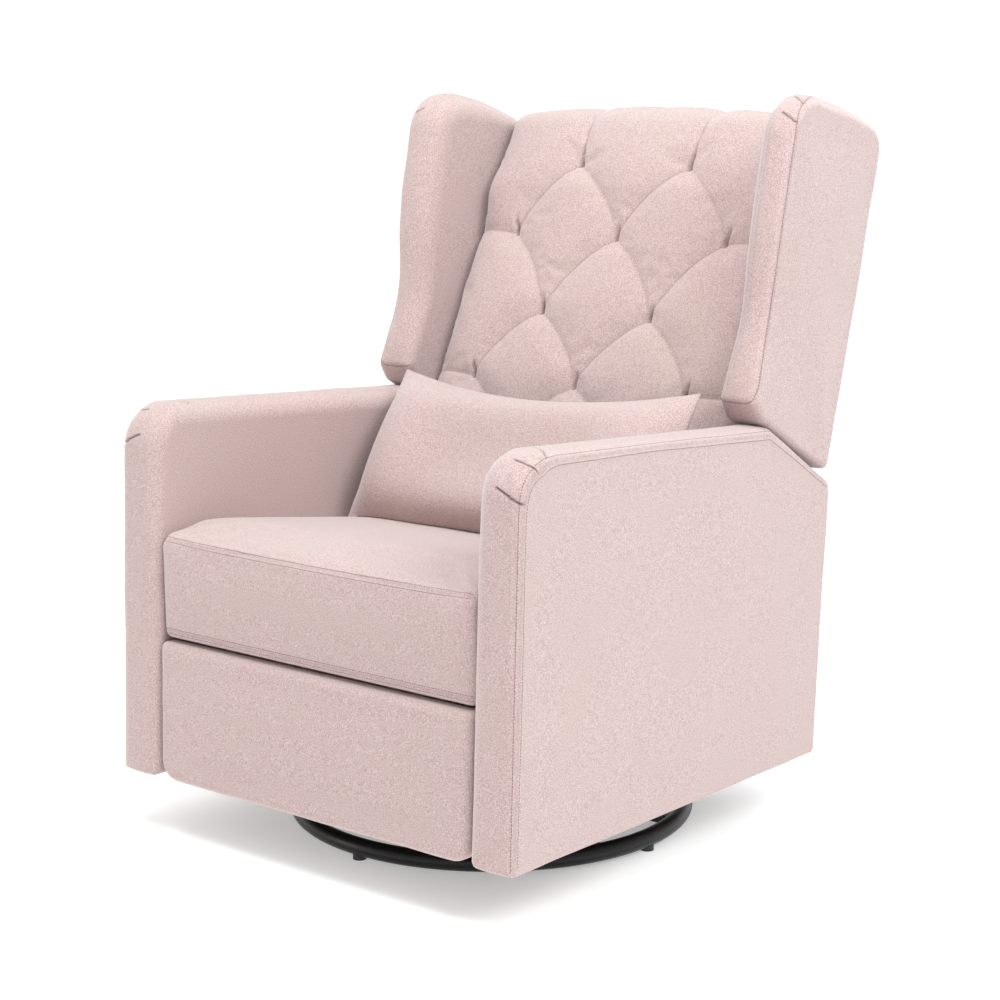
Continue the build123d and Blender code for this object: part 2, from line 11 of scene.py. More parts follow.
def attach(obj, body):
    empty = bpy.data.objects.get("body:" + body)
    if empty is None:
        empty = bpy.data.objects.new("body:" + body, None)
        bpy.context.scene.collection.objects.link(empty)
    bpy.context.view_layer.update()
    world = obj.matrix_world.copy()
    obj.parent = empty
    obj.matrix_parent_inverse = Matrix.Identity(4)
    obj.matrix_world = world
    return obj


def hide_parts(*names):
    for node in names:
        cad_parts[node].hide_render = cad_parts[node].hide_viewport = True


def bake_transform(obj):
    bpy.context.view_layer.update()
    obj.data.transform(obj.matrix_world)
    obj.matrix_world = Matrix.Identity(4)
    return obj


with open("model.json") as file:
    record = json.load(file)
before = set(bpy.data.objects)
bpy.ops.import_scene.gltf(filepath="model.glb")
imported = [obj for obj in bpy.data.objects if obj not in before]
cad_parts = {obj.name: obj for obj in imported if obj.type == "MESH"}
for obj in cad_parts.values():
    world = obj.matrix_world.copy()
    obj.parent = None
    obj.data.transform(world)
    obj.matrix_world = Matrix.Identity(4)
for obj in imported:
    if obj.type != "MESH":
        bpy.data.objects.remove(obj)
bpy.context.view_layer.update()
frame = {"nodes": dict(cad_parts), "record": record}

MM = 0.001
FAR = 1e9


# ---------------------------------------------------------------- small helpers
def smooth(x, low, high):
    """0 below low, 1 above high, with soft ends."""
    t = np.clip((np.asarray(x, float) - low) / (high - low), 0, 1)
    return t * t * (3 - 2 * t)


def bell(x, width, middle=0.0):
    """1 at the middle, falling to nothing on both sides over about twice the width."""
    return np.exp(-((x - middle) / width) ** 2)


def ripple(p, scale, seed):
    """Soft unevenness, about -1 to 1, that varies over scale millimetres."""
    rng = np.random.default_rng(seed)
    total = np.zeros(p.shape[:-1])
    for k in range(3):
        for _ in range(4):
            way = rng.normal(size=3)
            way /= np.linalg.norm(way)
            wave = 2 * math.pi * 1.7 ** k / scale
            total += np.sin(p @ way * wave + rng.uniform(0, 6.28)) / (1.5 ** k * 4)
    return total


def bezier(p0, p1, p2, p3, count=14):
    """Points along a cubic curve in the plane."""
    t = np.linspace(0, 1, count)[:, None]
    p0, p1, p2, p3 = (np.array(p, float) for p in (p0, p1, p2, p3))
    return (1 - t) ** 3 * p0 + 3 * t * (1 - t) ** 2 * p1 + 3 * t * t * (1 - t) * p2 + t ** 3 * p3


def path_distance(u, v, path):
    """Distance from each point (u, v) to a polyline, how far along it is (0 to 1), and on which side."""
    path = np.asarray(path, float)
    lengths = np.linalg.norm(np.diff(path, axis=0), axis=1)
    start = np.concatenate([[0], np.cumsum(lengths)])
    best = np.full(u.shape, FAR)
    along = np.zeros(u.shape)
    side = np.zeros(u.shape)
    for k, length in enumerate(lengths):
        a, b = path[k], path[k + 1]
        d = (b - a) / length
        t = np.clip((u - a[0]) * d[0] + (v - a[1]) * d[1], 0, length)
        du, dv = u - a[0] - t * d[0], v - a[1] - t * d[1]
        dist = np.hypot(du, dv)
        near = dist < best
        best = np.where(near, dist, best)
        along = np.where(near, (start[k] + t) / start[-1], along)
        side = np.where(near, np.sign(d[0] * dv - d[1] * du), side)
    return best, along, side


def graded(length, fine, coarse):
    """Inner points of a straight run, as fractions, closer together near its ends."""
    steps = []
    step, total = fine, 0.0
    while total < length / 2:
        steps.append(step)
        total += step
        step = min(step * 1.06, coarse)
    half = np.cumsum(steps) * (length / 2) / total
    if len(half) < 2:
        return np.array([0.5])
    return np.concatenate([half, (length - half[:-1])[::-1]]) / length


# ---------------------------------------------------------------- outlines and slabs
class Loop:
    """A closed outline with rounded corners, in millimetres, that can be drawn again further in."""

    LEVELS = np.array([-8.0, 0.0, 1.5, 3.0, 6.0, 10.0, 16.0, 24.0, 34.0, 46.0])

    def __init__(self, corners, arc_step=2.5):
        """corners are (u, v, radius, longest step on the run that follows)."""
        self.points = np.array([c[:2] for c in corners], float)
        self.radii = [c[2] for c in corners]
        after = np.roll(self.points, -1, 0)
        area = np.sum(self.points[:, 0] * after[:, 1] - after[:, 0] * self.points[:, 1])
        self.turn_sign = 1.0 if area > 0 else -1.0
        span = after - self.points
        self.edge = span / np.linalg.norm(span, axis=1)[:, None]
        self.inward = self.turn_sign * np.stack([-self.edge[:, 1], self.edge[:, 0]], 1)
        self.arc_counts = []
        self.fractions = []
        for i, corner in enumerate(corners):
            arc, length = self._arc(i, 0.0, 2)
            self.arc_counts.append(max(6, int(length / arc_step)))
            run = np.linalg.norm(self._arc((i + 1) % len(corners), 0, 2)[0][0] - arc[-1])
            self.fractions.append(graded(run, arc_step, corner[3]))
        self.levels = np.stack([self._draw(d) for d in self.LEVELS])
        self.n = self.levels.shape[1]
        self.base = self.levels[1]
        gaps = np.linalg.norm(np.roll(self.base, -1, 0) - self.base, axis=1)
        self.s = np.concatenate([[0], np.cumsum(gaps)[:-1]])
        self.length = gaps.sum()
        q = []
        for i, count in enumerate(self.arc_counts):
            q += list(i - 0.05 + 0.1 * np.linspace(0, 1, count + 1))
            q += list(i + 0.05 + 0.9 * self.fractions[i])
        self.q = np.array(q)

    def _arc(self, i, d, count):
        """Corner i's rounding, drawn a distance d further in, and its length."""
        n0, n1 = self.inward[i - 1], self.inward[i]
        e0, e1 = self.edge[i - 1], self.edge[i]
        p = self.points[i] + np.linalg.solve(np.array([n0, n1]), [d, d])
        turn = math.acos(np.clip(e0 @ e1, -1, 1))
        bend = 1 if self.turn_sign * (e0[0] * e1[1] - e0[1] * e1[0]) > 0 else -1
        r = max(self.radii[i] - bend * d, 0.4)
        start = p - e0 * r * math.tan(turn / 2)
        centre = start + bend * n0 * r
        phi = np.linspace(0, turn, count + 1)[:, None]
        return centre + r * (-bend * n0 * np.cos(phi) + e0 * np.sin(phi)), r * turn

    def _draw(self, d):
        """The whole outline a distance d further in."""
        arcs = [self._arc(i, d, self.arc_counts[i])[0] for i in range(len(self.points))]
        out = []
        for i, arc in enumerate(arcs):
            out.append(arc)
            a, b = arc[-1], arcs[(i + 1) % len(arcs)][0]
            out.append(a + (b - a) * self.fractions[i][:, None])
        return np.concatenate(out)

    def along(self, table):
        """Values given as (corner index plus fraction of the run after it, value), at each point."""
        keys = np.array([t[0] for t in table], float)
        values = np.array([t[1] for t in table], float)
        return np.interp(self.q, keys, values, period=len(self.points))

    def inset(self, distance):
        """The outline's points moved inward by distance, an array of (rings, points)."""
        k = np.clip(np.searchsorted(self.LEVELS, distance) - 1, 0, len(self.LEVELS) - 2)
        low, high = self.LEVELS[k], self.LEVELS[k + 1]
        t = ((distance - low) / (high - low))[..., None]
        cols = np.broadcast_to(np.arange(self.n), distance.shape)
        return self.levels[k, cols] * (1 - t) + self.levels[k + 1, cols] * t


# How a flat face's rings close on its middle: first by whole steps inward, then by shrinking.
SHRINK = np.array([0.93, 0.84, 0.74, 0.63, 0.51, 0.39, 0.27, 0.16, 0.07])
CAP_STEPS = np.array([1.5, 3, 4.5, 6, 8, 10.5, 14, 19, 26])


class Slab:
    """The skin of a padded slab as rings, from the middle of its low face over its edge to its high face."""

    def __init__(self, loop, low, high, edge_low, edge_high, band, round_steps=8, caps=CAP_STEPS):
        """low, high: the faces' places; edge_*: (how far in, how far across) each rounded edge reaches."""
        one = np.ones(loop.n)
        (in_low, across_low), (in_high, across_high) = [
            (np.asarray(a, float) * one, np.asarray(b, float) * one) for a, b in (edge_low, edge_high)
        ]
        w, d, f = [], [], []

        def ring(place, inward, share=1.0):
            w.append(place * one)
            d.append(inward * one)
            f.append(share)

        for share in SHRINK[::-1]:
            ring(low, in_low + caps[-1], share)
        for step in caps[::-1]:
            ring(low, in_low + step)
        self.low_edge = len(w)
        for angle in np.linspace(0, math.pi / 2, round_steps + 1)[:-1]:
            ring(low + across_low * (1 - math.cos(angle)), in_low * (1 - math.sin(angle)))
        for t in band:
            ring((low + across_low) * (1 - t) + (high - across_high) * t, 0)
        for angle in np.linspace(math.pi / 2, 0, round_steps + 1)[1:]:
            ring(high - across_high * (1 - math.cos(angle)), in_high * (1 - math.sin(angle)))
        self.high_edge = len(w) - 1
        for step in caps:
            ring(high, in_high + step)
        for share in SHRINK:
            ring(high, in_high + caps[-1], share)
        self.w = np.array(w)
        self.d = np.array(d)
        self.f = np.array(f)
        middle = loop.base.mean(0)
        self.uv = middle + self.f[:, None, None] * (loop.inset(self.d) - middle)
        self.s = np.broadcast_to(loop.s, self.w.shape)
        self.beyond = (1 - self.f[:, None]) * 200
        self.reach = self.w.copy()
        self.reach[: self.low_edge + 1] -= (self.d - in_low + self.beyond)[: self.low_edge + 1]
        self.reach[self.high_edge:] += (self.d - in_high + self.beyond)[self.high_edge:]

    def outer_rings(self):
        """Without the shrunken rings: places across, places along, and points in the chair's frame."""
        keep = self.f > 0.99
        return self.w[keep], self.s[keep], np.concatenate([self.w[keep, :, None], self.uv[keep]], 2)

    def face_share(self):
        """0 at the rim of either face, rising to 1 at its middle."""
        rim = np.where(self.w < self.w.mean(), self.d[self.low_edge], self.d[self.high_edge])
        return smooth(np.maximum(self.d - rim, 0) + self.beyond, 0, 120)


def ring_normals(p):
    """Outward unit normals of a grid of rings."""
    du = np.roll(p, -1, 1) - np.roll(p, 1, 1)
    dv = np.gradient(p, axis=0)
    n = np.cross(du, dv)
    size = np.linalg.norm(n, axis=2, keepdims=True)
    n = n / np.maximum(size, 1e-9)
    middle = p.reshape(-1, 3).mean(0)
    row = p.shape[0] // 2
    if np.sum((p[row] - middle) * n[row]) < 0:
        n = -n
    return n


def make_mesh(name, verts, faces, crease=None):
    """A smooth-shaded object from points in millimetres."""
    mesh = bpy.data.meshes.new(name)
    mesh.from_pydata((np.asarray(verts) * MM).tolist(), [], faces)
    mesh.update()
    work = bmesh.new()
    work.from_mesh(mesh)
    bmesh.ops.recalc_face_normals(work, faces=work.faces)
    work.to_mesh(mesh)
    work.free()
    mesh.polygons.foreach_set("use_smooth", [True] * len(mesh.polygons))
    # Keeps the per-point painted shade that the cloth material reads.
    if crease is not None:
        layer = mesh.attributes.new("crease", "FLOAT", "POINT")
        layer.data.foreach_set("value", np.asarray(crease, np.float32).ravel())
    obj = bpy.data.objects.new(name, mesh)
    bpy.context.scene.collection.objects.link(obj)
    return obj


def tube_faces(rows, n):
    """The quads between rings of n points."""
    return [
        (r * n + k, r * n + (k + 1) % n, (r + 1) * n + (k + 1) % n, (r + 1) * n + k)
        for r in range(rows - 1) for k in range(n)
    ]


def flat_ended(rows, n):
    """The quads between rings, and one flat face at each end."""
    return tube_faces(rows, n) + [tuple(range(n))[::-1], tuple(range((rows - 1) * n, rows * n))]


def ring_object(name, p, crease):
    """A skin of rings, closed by a fan of triangles at each end."""
    rows, n = p.shape[:2]
    verts = np.concatenate([p.reshape(-1, 3), [p[0].mean(0)], [p[-1].mean(0)]])
    low, high, last = rows * n, rows * n + 1, (rows - 1) * n
    faces = tube_faces(rows, n)
    faces += [((k + 1) % n, k, low) for k in range(n)]
    faces += [(last + k, last + (k + 1) % n, high) for k in range(n)]
    return make_mesh(name, verts, faces, np.concatenate([crease.ravel(), [0, 0]]))


def grid_object(name, p, crease):
    """A skin of rings closed by one flat face at each end."""
    return make_mesh(name, p.reshape(-1, 3), flat_ended(*p.shape[:2]), crease.ravel())


def points_of(obj):
    """An object's points in metres, as an array."""
    co = np.zeros(len(obj.data.vertices) * 3, np.float32)
    obj.data.vertices.foreach_get("co", co)
    return co.reshape(-1, 3).astype(float)


def move_points(obj, co):
    """Puts an object's points at places in metres."""
    obj.data.vertices.foreach_set("co", co.astype(np.float32).ravel())
    obj.data.update()


def mirrored(p):
    """The same points on the chair's other side."""
    q = p.copy()
    q[..., 0] *= -1
    return q


# ---------------------------------------------------------------- stitching
def thread_template():
    """A short plump thread along x, one unit long and one unit in radius."""
    verts = []
    sides = 6
    stations = [(-0.5, 0.35), (-0.38, 0.85), (0.0, 1.0), (0.38, 0.85), (0.5, 0.35)]
    for x, r in stations:
        for k in range(sides):
            a = 2 * math.pi * k / sides
            verts.append((x, r * math.cos(a), r * math.sin(a)))
    return np.array(verts), flat_ended(len(stations), sides)


THREAD_VERTS, THREAD_FACES = thread_template()


def resample(path, normals, pitch):
    """Evenly spaced points along a path, with the path's direction and the skin's normal at each."""
    s = np.concatenate([[0], np.cumsum(np.linalg.norm(np.diff(path, axis=0), axis=1))])
    at = np.arange(pitch / 2, s[-1] - pitch / 4, pitch)

    def values(where, table):
        return np.stack([np.interp(where, s, table[:, k]) for k in range(3)], 1)

    tangent = values(np.minimum(at + 0.5, s[-1]), path) - values(np.maximum(at - 0.5, 0), path)
    tangent /= np.maximum(np.linalg.norm(tangent, axis=1, keepdims=True), 1e-9)
    return values(at, path), tangent, values(at, normals)


def stitching(name, rows, body, pitch=4.2, length=3.1, radius=0.5, lift=0.0):
    """Rows of short sewn threads; rows is a list of (path, normals)."""
    verts, faces = [], []
    base = 0
    for path, normals in rows:
        point, tangent, normal = resample(path, normals, pitch)
        if not len(point):
            continue
        side = np.cross(normal, tangent)
        side /= np.maximum(np.linalg.norm(side, axis=1, keepdims=True), 1e-9)
        up = np.cross(tangent, side)
        v = (point + up * lift)[:, None, :]
        for k, (scale, way) in enumerate(((length, tangent), (radius, side), (radius, up))):
            v = v + THREAD_VERTS[None, :, k:k + 1] * scale * way[:, None, :]
        verts.append(v.reshape(-1, 3))
        for k in range(len(point)):
            shift = base + k * len(THREAD_VERTS)
            faces += [tuple(i + shift for i in f) for f in THREAD_FACES]
        base += len(point) * len(THREAD_VERTS)
    obj = make_mesh(name, np.concatenate(verts), faces)
    obj.data.materials.append(THREAD)
    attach(obj, body)


# ---------------------------------------------------------------- materials
class Nodes:
    """Short ways to build a node tree."""

    def __init__(self, name):
        self.material = bpy.data.materials.new(name)
        self.material.use_nodes = True
        self.tree = self.material.node_tree
        self.shader = self.tree.nodes["Principled BSDF"]
        self.coords = self.tree.nodes.new("ShaderNodeTexCoord")

    def new(self, kind, **values):
        """A node of a kind, with its settings."""
        node = self.tree.nodes.new(kind)
        for key, value in values.items():
            setattr(node, key, value)
        return node

    def put(self, socket, value):
        """Links a socket to another one, or sets its value."""
        if isinstance(value, bpy.types.NodeSocket):
            self.tree.links.new(value, socket)
        else:
            socket.default_value = value

    def math(self, operation, a, b=None, clamp=False):
        node = self.new("ShaderNodeMath", operation=operation, use_clamp=clamp)
        self.put(node.inputs[0], a)
        if b is not None:
            self.put(node.inputs[1], b)
        return node.outputs[0]

    def noise(self, scale, detail, rough, stretch=(1, 1, 1)):
        """Noise fixed to the object, scale cells to the metre, squeezed along each axis by stretch."""
        place = self.new("ShaderNodeMapping")
        self.put(place.inputs["Vector"], self.coords.outputs["Object"])
        place.inputs["Scale"].default_value = stretch
        node = self.new("ShaderNodeTexNoise")
        self.put(node.inputs["Vector"], place.outputs["Vector"])
        node.inputs["Scale"].default_value = scale
        node.inputs["Detail"].default_value = detail
        node.inputs["Roughness"].default_value = rough
        return node.outputs["Fac"]

    def ramp(self, fac, stops):
        """Colours by value; stops are (value, colour)."""
        node = self.new("ShaderNodeValToRGB")
        self.put(node.inputs["Fac"], fac)
        ramp = node.color_ramp
        while len(ramp.elements) < len(stops):
            ramp.elements.new(0.5)
        for element, (at, colour) in zip(ramp.elements, stops):
            element.position = at
            element.color = (*colour, 1)
        return node.outputs["Color"]

    def range(self, value, a, b, c, d):
        """A value of a to b turned into one of c to d, and held there."""
        node = self.new("ShaderNodeMapRange")
        self.put(node.inputs["Value"], value)
        for key, v in zip(("From Min", "From Max", "To Min", "To Max"), (a, b, c, d)):
            node.inputs[key].default_value = v
        return node.outputs["Result"]

    def mix(self, fac, a, b):
        """Colour a where fac is 0 and colour b where it is 1."""
        node = self.new("ShaderNodeMix", data_type="RGBA")
        self.put(node.inputs["Factor"], fac)
        for key, value in (("A", a), ("B", b)):
            socket = [s for s in node.inputs if s.name == key and s.type == "RGBA"][0]
            self.put(socket, (*value, 1) if isinstance(value, tuple) else value)
        return [s for s in node.outputs if s.type == "RGBA"][0]

    def bump(self, height, strength, distance, normal=None):
        node = self.new("ShaderNodeBump")
        node.inputs["Strength"].default_value = strength
        node.inputs["Distance"].default_value = distance
        self.put(node.inputs["Height"], height)
        if normal is not None:
            self.put(node.inputs["Normal"], normal)
        return node.outputs["Normal"]

    def finish(self, colour, rough, normal=None, **constants):
        """Joins everything to the shader; constants go straight on its own sockets."""
        self.put(self.shader.inputs["Base Color"], colour)
        self.put(self.shader.inputs["Roughness"], rough)
        if normal is not None:
            self.put(self.shader.inputs["Normal"], normal)
        for key, value in constants.items():
            self.shader.inputs[key.replace("_", " ").title().replace("Ior", "IOR")].default_value = value
        return self.material

    def weave(self, pitch):
        """A plain weave's height, chosen by which way the cloth faces, from two sets of crossing threads."""
        place = self.new("ShaderNodeSeparateXYZ")
        self.put(place.inputs[0], self.coords.outputs["Object"])
        facing = self.new("ShaderNodeSeparateXYZ")
        self.put(facing.inputs[0], self.coords.outputs["Normal"])
        wave = 2 * math.pi / pitch
        waves = [self.math("SINE", self.math("MULTIPLY", place.outputs[k], wave)) for k in range(3)]
        total = None
        for k in range(3):
            pair = self.math("MULTIPLY", waves[(k + 1) % 3], waves[(k + 2) % 3])
            share = self.math("POWER", self.math("ABSOLUTE", facing.outputs[k]), 4.0)
            part = self.math("MULTIPLY", pair, share)
            total = part if total is None else self.math("ADD", total, part)
        return self.math("ADD", self.math("MULTIPLY", total, 0.5), 0.5)


# Painted shade: the colour the cloth is darkened towards in seams, pleats, slits, fold lines and tuft pits,
# where shade falls.
SEAM_SHADE = (0.13, 0.07, 0.065)
WEAVE_PITCH = 0.0024


def upholstery_material(name, light, mid, deep, fleck):
    """Heathered plain-weave cloth: light and deep fibres, tan flecks, and painted shade in seams and folds.
    """
    n = Nodes(name)
    weave = n.weave(WEAVE_PITCH)
    slub = n.noise(640, 2, 0.6)
    fibre = n.noise(900, 2, 0.6)
    cloud = n.noise(9, 2, 0.5)
    base = n.ramp(slub, [(0.34, deep), (0.50, mid), (0.66, light)])
    tint = n.mix(n.range(cloud, 0.3, 0.7, 0.0, 0.22), base, fleck)
    spots = n.range(fibre, 0.60, 0.72, 0.0, 0.5)
    spotted = n.mix(spots, tint, light)
    holes = n.range(weave, 0.0, 0.45, 0.15, 0.0)
    woven = n.mix(holes, spotted, deep)
    # Painted shade: a per-point attribute darkens the cloth towards SEAM_SHADE in seams, folds and tuft pits.
    seam = n.new("ShaderNodeAttribute", attribute_name="crease")
    shade = n.mix(n.math("MULTIPLY", seam.outputs["Fac"], 0.85, True), woven, SEAM_SHADE)
    relief = n.math("ADD", n.math("MULTIPLY", weave, 0.7), n.math("MULTIPLY", fibre, 0.55))
    fine = n.bump(relief, 0.55, 0.0007)
    soft = n.bump(n.noise(60, 2, 0.5), 0.10, 0.0015, fine)
    rough = n.range(slub, 0.3, 0.7, 0.86, 0.97)
    return n.finish(shade, rough, soft, sheen_weight=0.45, sheen_roughness=0.5, specular_ior_level=0.15)


CLOTH = upholstery_material(
    "blush_weave", (0.545, 0.435, 0.425), (0.435, 0.313, 0.305), (0.315, 0.202, 0.195), (0.435, 0.345, 0.30)
)


def thread_material():
    """Twisted thread, darker than the cloth."""
    n = Nodes("sewing_thread")
    twist = n.noise(1500, 2, 0.6)
    colour = n.ramp(twist, [(0.35, (0.11, 0.06, 0.058)), (0.65, (0.20, 0.12, 0.115))])
    return n.finish(colour, n.range(twist, 0.3, 0.7, 0.55, 0.8), n.bump(twist, 0.5, 0.0003), sheen_weight=0.1)


THREAD = thread_material()


def powder_coat():
    """Black powder coat with orange peel, worn grey along its edges."""
    n = Nodes("black_powder_coat")
    peel = n.noise(700, 2, 0.55)
    dust = n.noise(14, 3, 0.6)
    edge = n.new("ShaderNodeNewGeometry").outputs["Pointiness"]
    worn = n.range(edge, 0.54, 0.64, 0.0, 0.35)
    coat = n.ramp(dust, [(0.3, (0.004, 0.004, 0.0045)), (0.75, (0.009, 0.009, 0.010))])
    colour = n.mix(worn, coat, (0.10, 0.10, 0.105))
    rough = n.range(peel, 0.3, 0.7, 0.26, 0.40)
    return n.finish(colour, rough, n.bump(peel, 0.2, 0.0003), specular_ior_level=0.3)


def zinc():
    """Spangled zinc plate."""
    n = Nodes("zinc_plate")
    grain = n.noise(160, 3, 0.6, (1, 1, 3))
    spangle = n.noise(45, 1, 0.5)
    colour = n.ramp(spangle, [(0.3, (0.50, 0.51, 0.52)), (0.7, (0.66, 0.67, 0.68))])
    return n.finish(colour, n.range(grain, 0.3, 0.7, 0.26, 0.46), n.bump(grain, 0.15, 0.0002), metallic=1.0)


def ball_steel():
    """Polished steel with fine scratches."""
    n = Nodes("bearing_steel")
    scratch = n.noise(600, 3, 0.7, (1, 6, 1))
    colour = n.ramp(scratch, [(0.3, (0.62, 0.62, 0.63)), (0.7, (0.78, 0.78, 0.79))])
    rough = n.range(scratch, 0.3, 0.7, 0.08, 0.2)
    return n.finish(colour, rough, n.bump(scratch, 0.05, 0.0001), metallic=1.0)


def plastic(name, low, high, rough):
    """Moulded nylon with a fine grain, between two colours."""
    n = Nodes(name)
    grain = n.noise(900, 2, 0.5)
    mottle = n.noise(30, 2, 0.5)
    colour = n.ramp(mottle, [(0.3, low), (0.7, high)])
    return n.finish(colour, n.range(grain, 0.3, 0.7, rough - 0.08, rough + 0.08), n.bump(grain, 0.2, 0.0002))


def timber():
    """Sawn boards with long grain."""
    n = Nodes("frame_timber")
    rings = n.new("ShaderNodeTexWave", wave_type="BANDS", bands_direction="Y")
    warp = n.noise(6, 3, 0.6, (1, 1, 0.25))
    n.put(rings.inputs["Vector"], n.coords.outputs["Object"])
    rings.inputs["Scale"].default_value = 22
    rings.inputs["Distortion"].default_value = 7
    rings.inputs["Detail"].default_value = 3
    fibre = n.noise(240, 3, 0.6, (1, 1, 0.08))
    grain = n.math("ADD", n.math("MULTIPLY", rings.outputs["Fac"], 0.6), n.math("MULTIPLY", fibre, 0.4))
    board = n.ramp(grain, [(0.25, (0.36, 0.23, 0.12)), (0.55, (0.58, 0.41, 0.24)), (0.8, (0.68, 0.52, 0.33))])
    colour = n.mix(n.range(warp, 0.3, 0.7, 0.0, 0.35), board, (0.50, 0.34, 0.19))
    return n.finish(colour, n.range(fibre, 0.3, 0.7, 0.6, 0.8), n.bump(fibre, 0.3, 0.0004))


def band_webbing():
    """Striped elastic webbing."""
    n = Nodes("elastic_webbing")
    weave = n.weave(0.0022)
    stripe = n.new("ShaderNodeTexWave", wave_type="BANDS", bands_direction="X")
    n.put(stripe.inputs["Vector"], n.coords.outputs["Object"])
    stripe.inputs["Scale"].default_value = 38
    colour = n.ramp(stripe.outputs["Fac"], [(0.4, (0.56, 0.50, 0.40)), (0.6, (0.40, 0.33, 0.25))])
    dark = n.mix(n.range(weave, 0.0, 0.5, 0.5, 0.0), colour, (0.16, 0.12, 0.09))
    return n.finish(dark, n.range(weave, 0, 1, 0.75, 0.92), n.bump(weave, 0.5, 0.0006))


SLOT_MATERIALS = {
    "upholstery": CLOTH,
    "cushion_cover": CLOTH,
    "black_steel": powder_coat(),
    "zinc_steel": zinc(),
    "ball_steel": ball_steel(),
    "glide_plastic": plastic("glide_nylon", (0.015, 0.015, 0.016), (0.03, 0.03, 0.032), 0.45),
    "bush_plastic": plastic("bush_nylon", (0.62, 0.61, 0.57), (0.72, 0.71, 0.67), 0.4),
    "frame_wood": timber(),
    "webbing": band_webbing(),
}
for subpart in frame["record"]["subparts"]:
    target = frame["nodes"][subpart["node"]]
    target.data.materials.clear()
    target.data.materials.append(SLOT_MATERIALS[subpart["material_slot"]])


def cover(obj, body, node, slot="upholstery"):
    """Finishes one padded piece, which stands for a CAD node."""
    obj.data.materials.append(SLOT_MATERIALS[slot])
    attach(obj, body)
    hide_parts(node)


# ---------------------------------------------------------------- cloth
def inflate(obj, pressure, frames, cap, stiff, bend, quality, shrink=0.0, pinned=None):
    """Swells a closed cloth skin with air, caps how far each point may move, and keeps the result."""
    rest = points_of(obj)
    cloth = obj.modifiers.new("air", "CLOTH")
    cloth.settings.use_pressure = True
    cloth.settings.uniform_pressure_force = pressure
    cloth.settings.quality = quality
    cloth.settings.mass = 0.3
    cloth.settings.tension_stiffness = stiff
    cloth.settings.compression_stiffness = stiff
    cloth.settings.shear_stiffness = stiff * 0.4
    cloth.settings.bending_stiffness = bend
    cloth.settings.air_damping = 2.0
    cloth.settings.effector_weights.gravity = 0
    cloth.settings.shrink_min = shrink
    cloth.collision_settings.use_collision = False
    cloth.collision_settings.use_self_collision = False
    if pinned is not None:
        group = obj.vertex_groups.new(name="sewn")
        for level in sorted(set(np.round(pinned, 1))):
            if level > 0:
                ids = np.nonzero(np.abs(np.round(pinned, 1) - level) < 0.01)[0]
                group.add([int(i) for i in ids], float(level), "REPLACE")
        cloth.settings.vertex_group_mass = "sewn"
        cloth.settings.pin_stiffness = 2.0
    cloth.point_cache.frame_start = 1
    cloth.point_cache.frame_end = frames + 1
    scene = bpy.context.scene
    for number in range(1, frames + 1):
        scene.frame_set(number)
    move = points_of(obj.evaluated_get(bpy.context.evaluated_depsgraph_get())) - rest
    size = np.linalg.norm(move, axis=1, keepdims=True)
    limit = cap * MM
    move *= np.where(size > 0, limit * np.tanh(size / limit) / np.maximum(size, 1e-12), 0)
    obj.modifiers.remove(cloth)
    obj.vertex_groups.clear()
    move_points(obj, rest + move)
    scene.frame_set(1)


def inflate_grid(p, pinned, pressure, frames, cap, shrink=0.0):
    """Swells a skin of rings on a copy with half its rings and points, and moves the skin as that moved."""
    rows, cols = p.shape[:2]
    pick_r = np.unique(np.append(np.arange(0, rows, 2), rows - 1))
    pick_c = np.arange(0, cols, 2)
    picked = np.ix_(pick_r, pick_c)
    nr, nc = len(pick_r), len(pick_c)
    before = p[picked].reshape(-1, 3)
    body = make_mesh("air_form", before, flat_ended(nr, nc))
    inflate(body, pressure, frames, cap, 15.0, 0.5, 6, shrink, pinned[picked].ravel())
    moved = (points_of(body) / MM - before).reshape(nr, nc, 3)
    data = body.data
    bpy.data.objects.remove(body)
    bpy.data.meshes.remove(data)
    wrapped = np.concatenate([moved, moved[:, :1]], 1)
    fine_c = np.interp(np.arange(cols), np.append(pick_c, cols), np.arange(nc + 1))
    k = np.minimum(fine_c.astype(int), nc - 1)
    t = (fine_c - k)[None, :, None]
    wide = wrapped[:, k] * (1 - t) + wrapped[:, k + 1] * t
    fine_r = np.interp(np.arange(rows), pick_r, np.arange(nr))
    j = np.minimum(fine_r.astype(int), nr - 2)
    u = (fine_r - j)[:, None, None]
    return p + wide[j] * (1 - u) + wide[j + 1] * u


# ---------------------------------------------------------------- lines and folds on a skin
def push(p, amount, normals=None):
    """Moves every point of the skin along its normal by amount millimetres."""
    n = ring_normals(p) if normals is None else normals
    return p + n * amount[..., None]


def on_skin(p, skin, slab_s, reach, path, length):
    """Points and normals on a skin along a path of (s, reach)."""
    runs = [np.linspace(a, b, 8)[:-1] for a, b in zip(path, path[1:])]
    fine = np.concatenate(runs + [path[-1:]])
    n = p.shape[1]
    line, out = [], []
    for target_s, target_reach in fine:
        target_s %= length
        k = int(np.searchsorted(slab_s, target_s, "right") - 1)
        after = slab_s[k + 1] if k + 1 < n else length
        t = (target_s - slab_s[k]) / (after - slab_s[k])
        spot, way = np.zeros(3), np.zeros(3)
        for col, share in ((k, 1 - t), ((k + 1) % n, t)):
            for a in range(3):
                spot[a] += share * np.interp(target_reach, reach[:, col], p[:, col, a])
                way[a] += share * np.interp(target_reach, reach[:, col], skin[:, col, a])
        line.append(spot)
        out.append(way)
    return np.array(line), np.array(out)


def s_at(loop, u, v):
    """How far along an outline the point nearest to (u, v) is."""
    return loop.s[np.argmin(np.hypot(loop.base[:, 0] - u, loop.base[:, 1] - v))]


def on_edge(loop, spots):
    """Spots given as (u, v, reach) on a padded slab, as points (s, reach) of its skin."""
    return np.array([(s_at(loop, u, v), reach) for u, v, reach in spots])


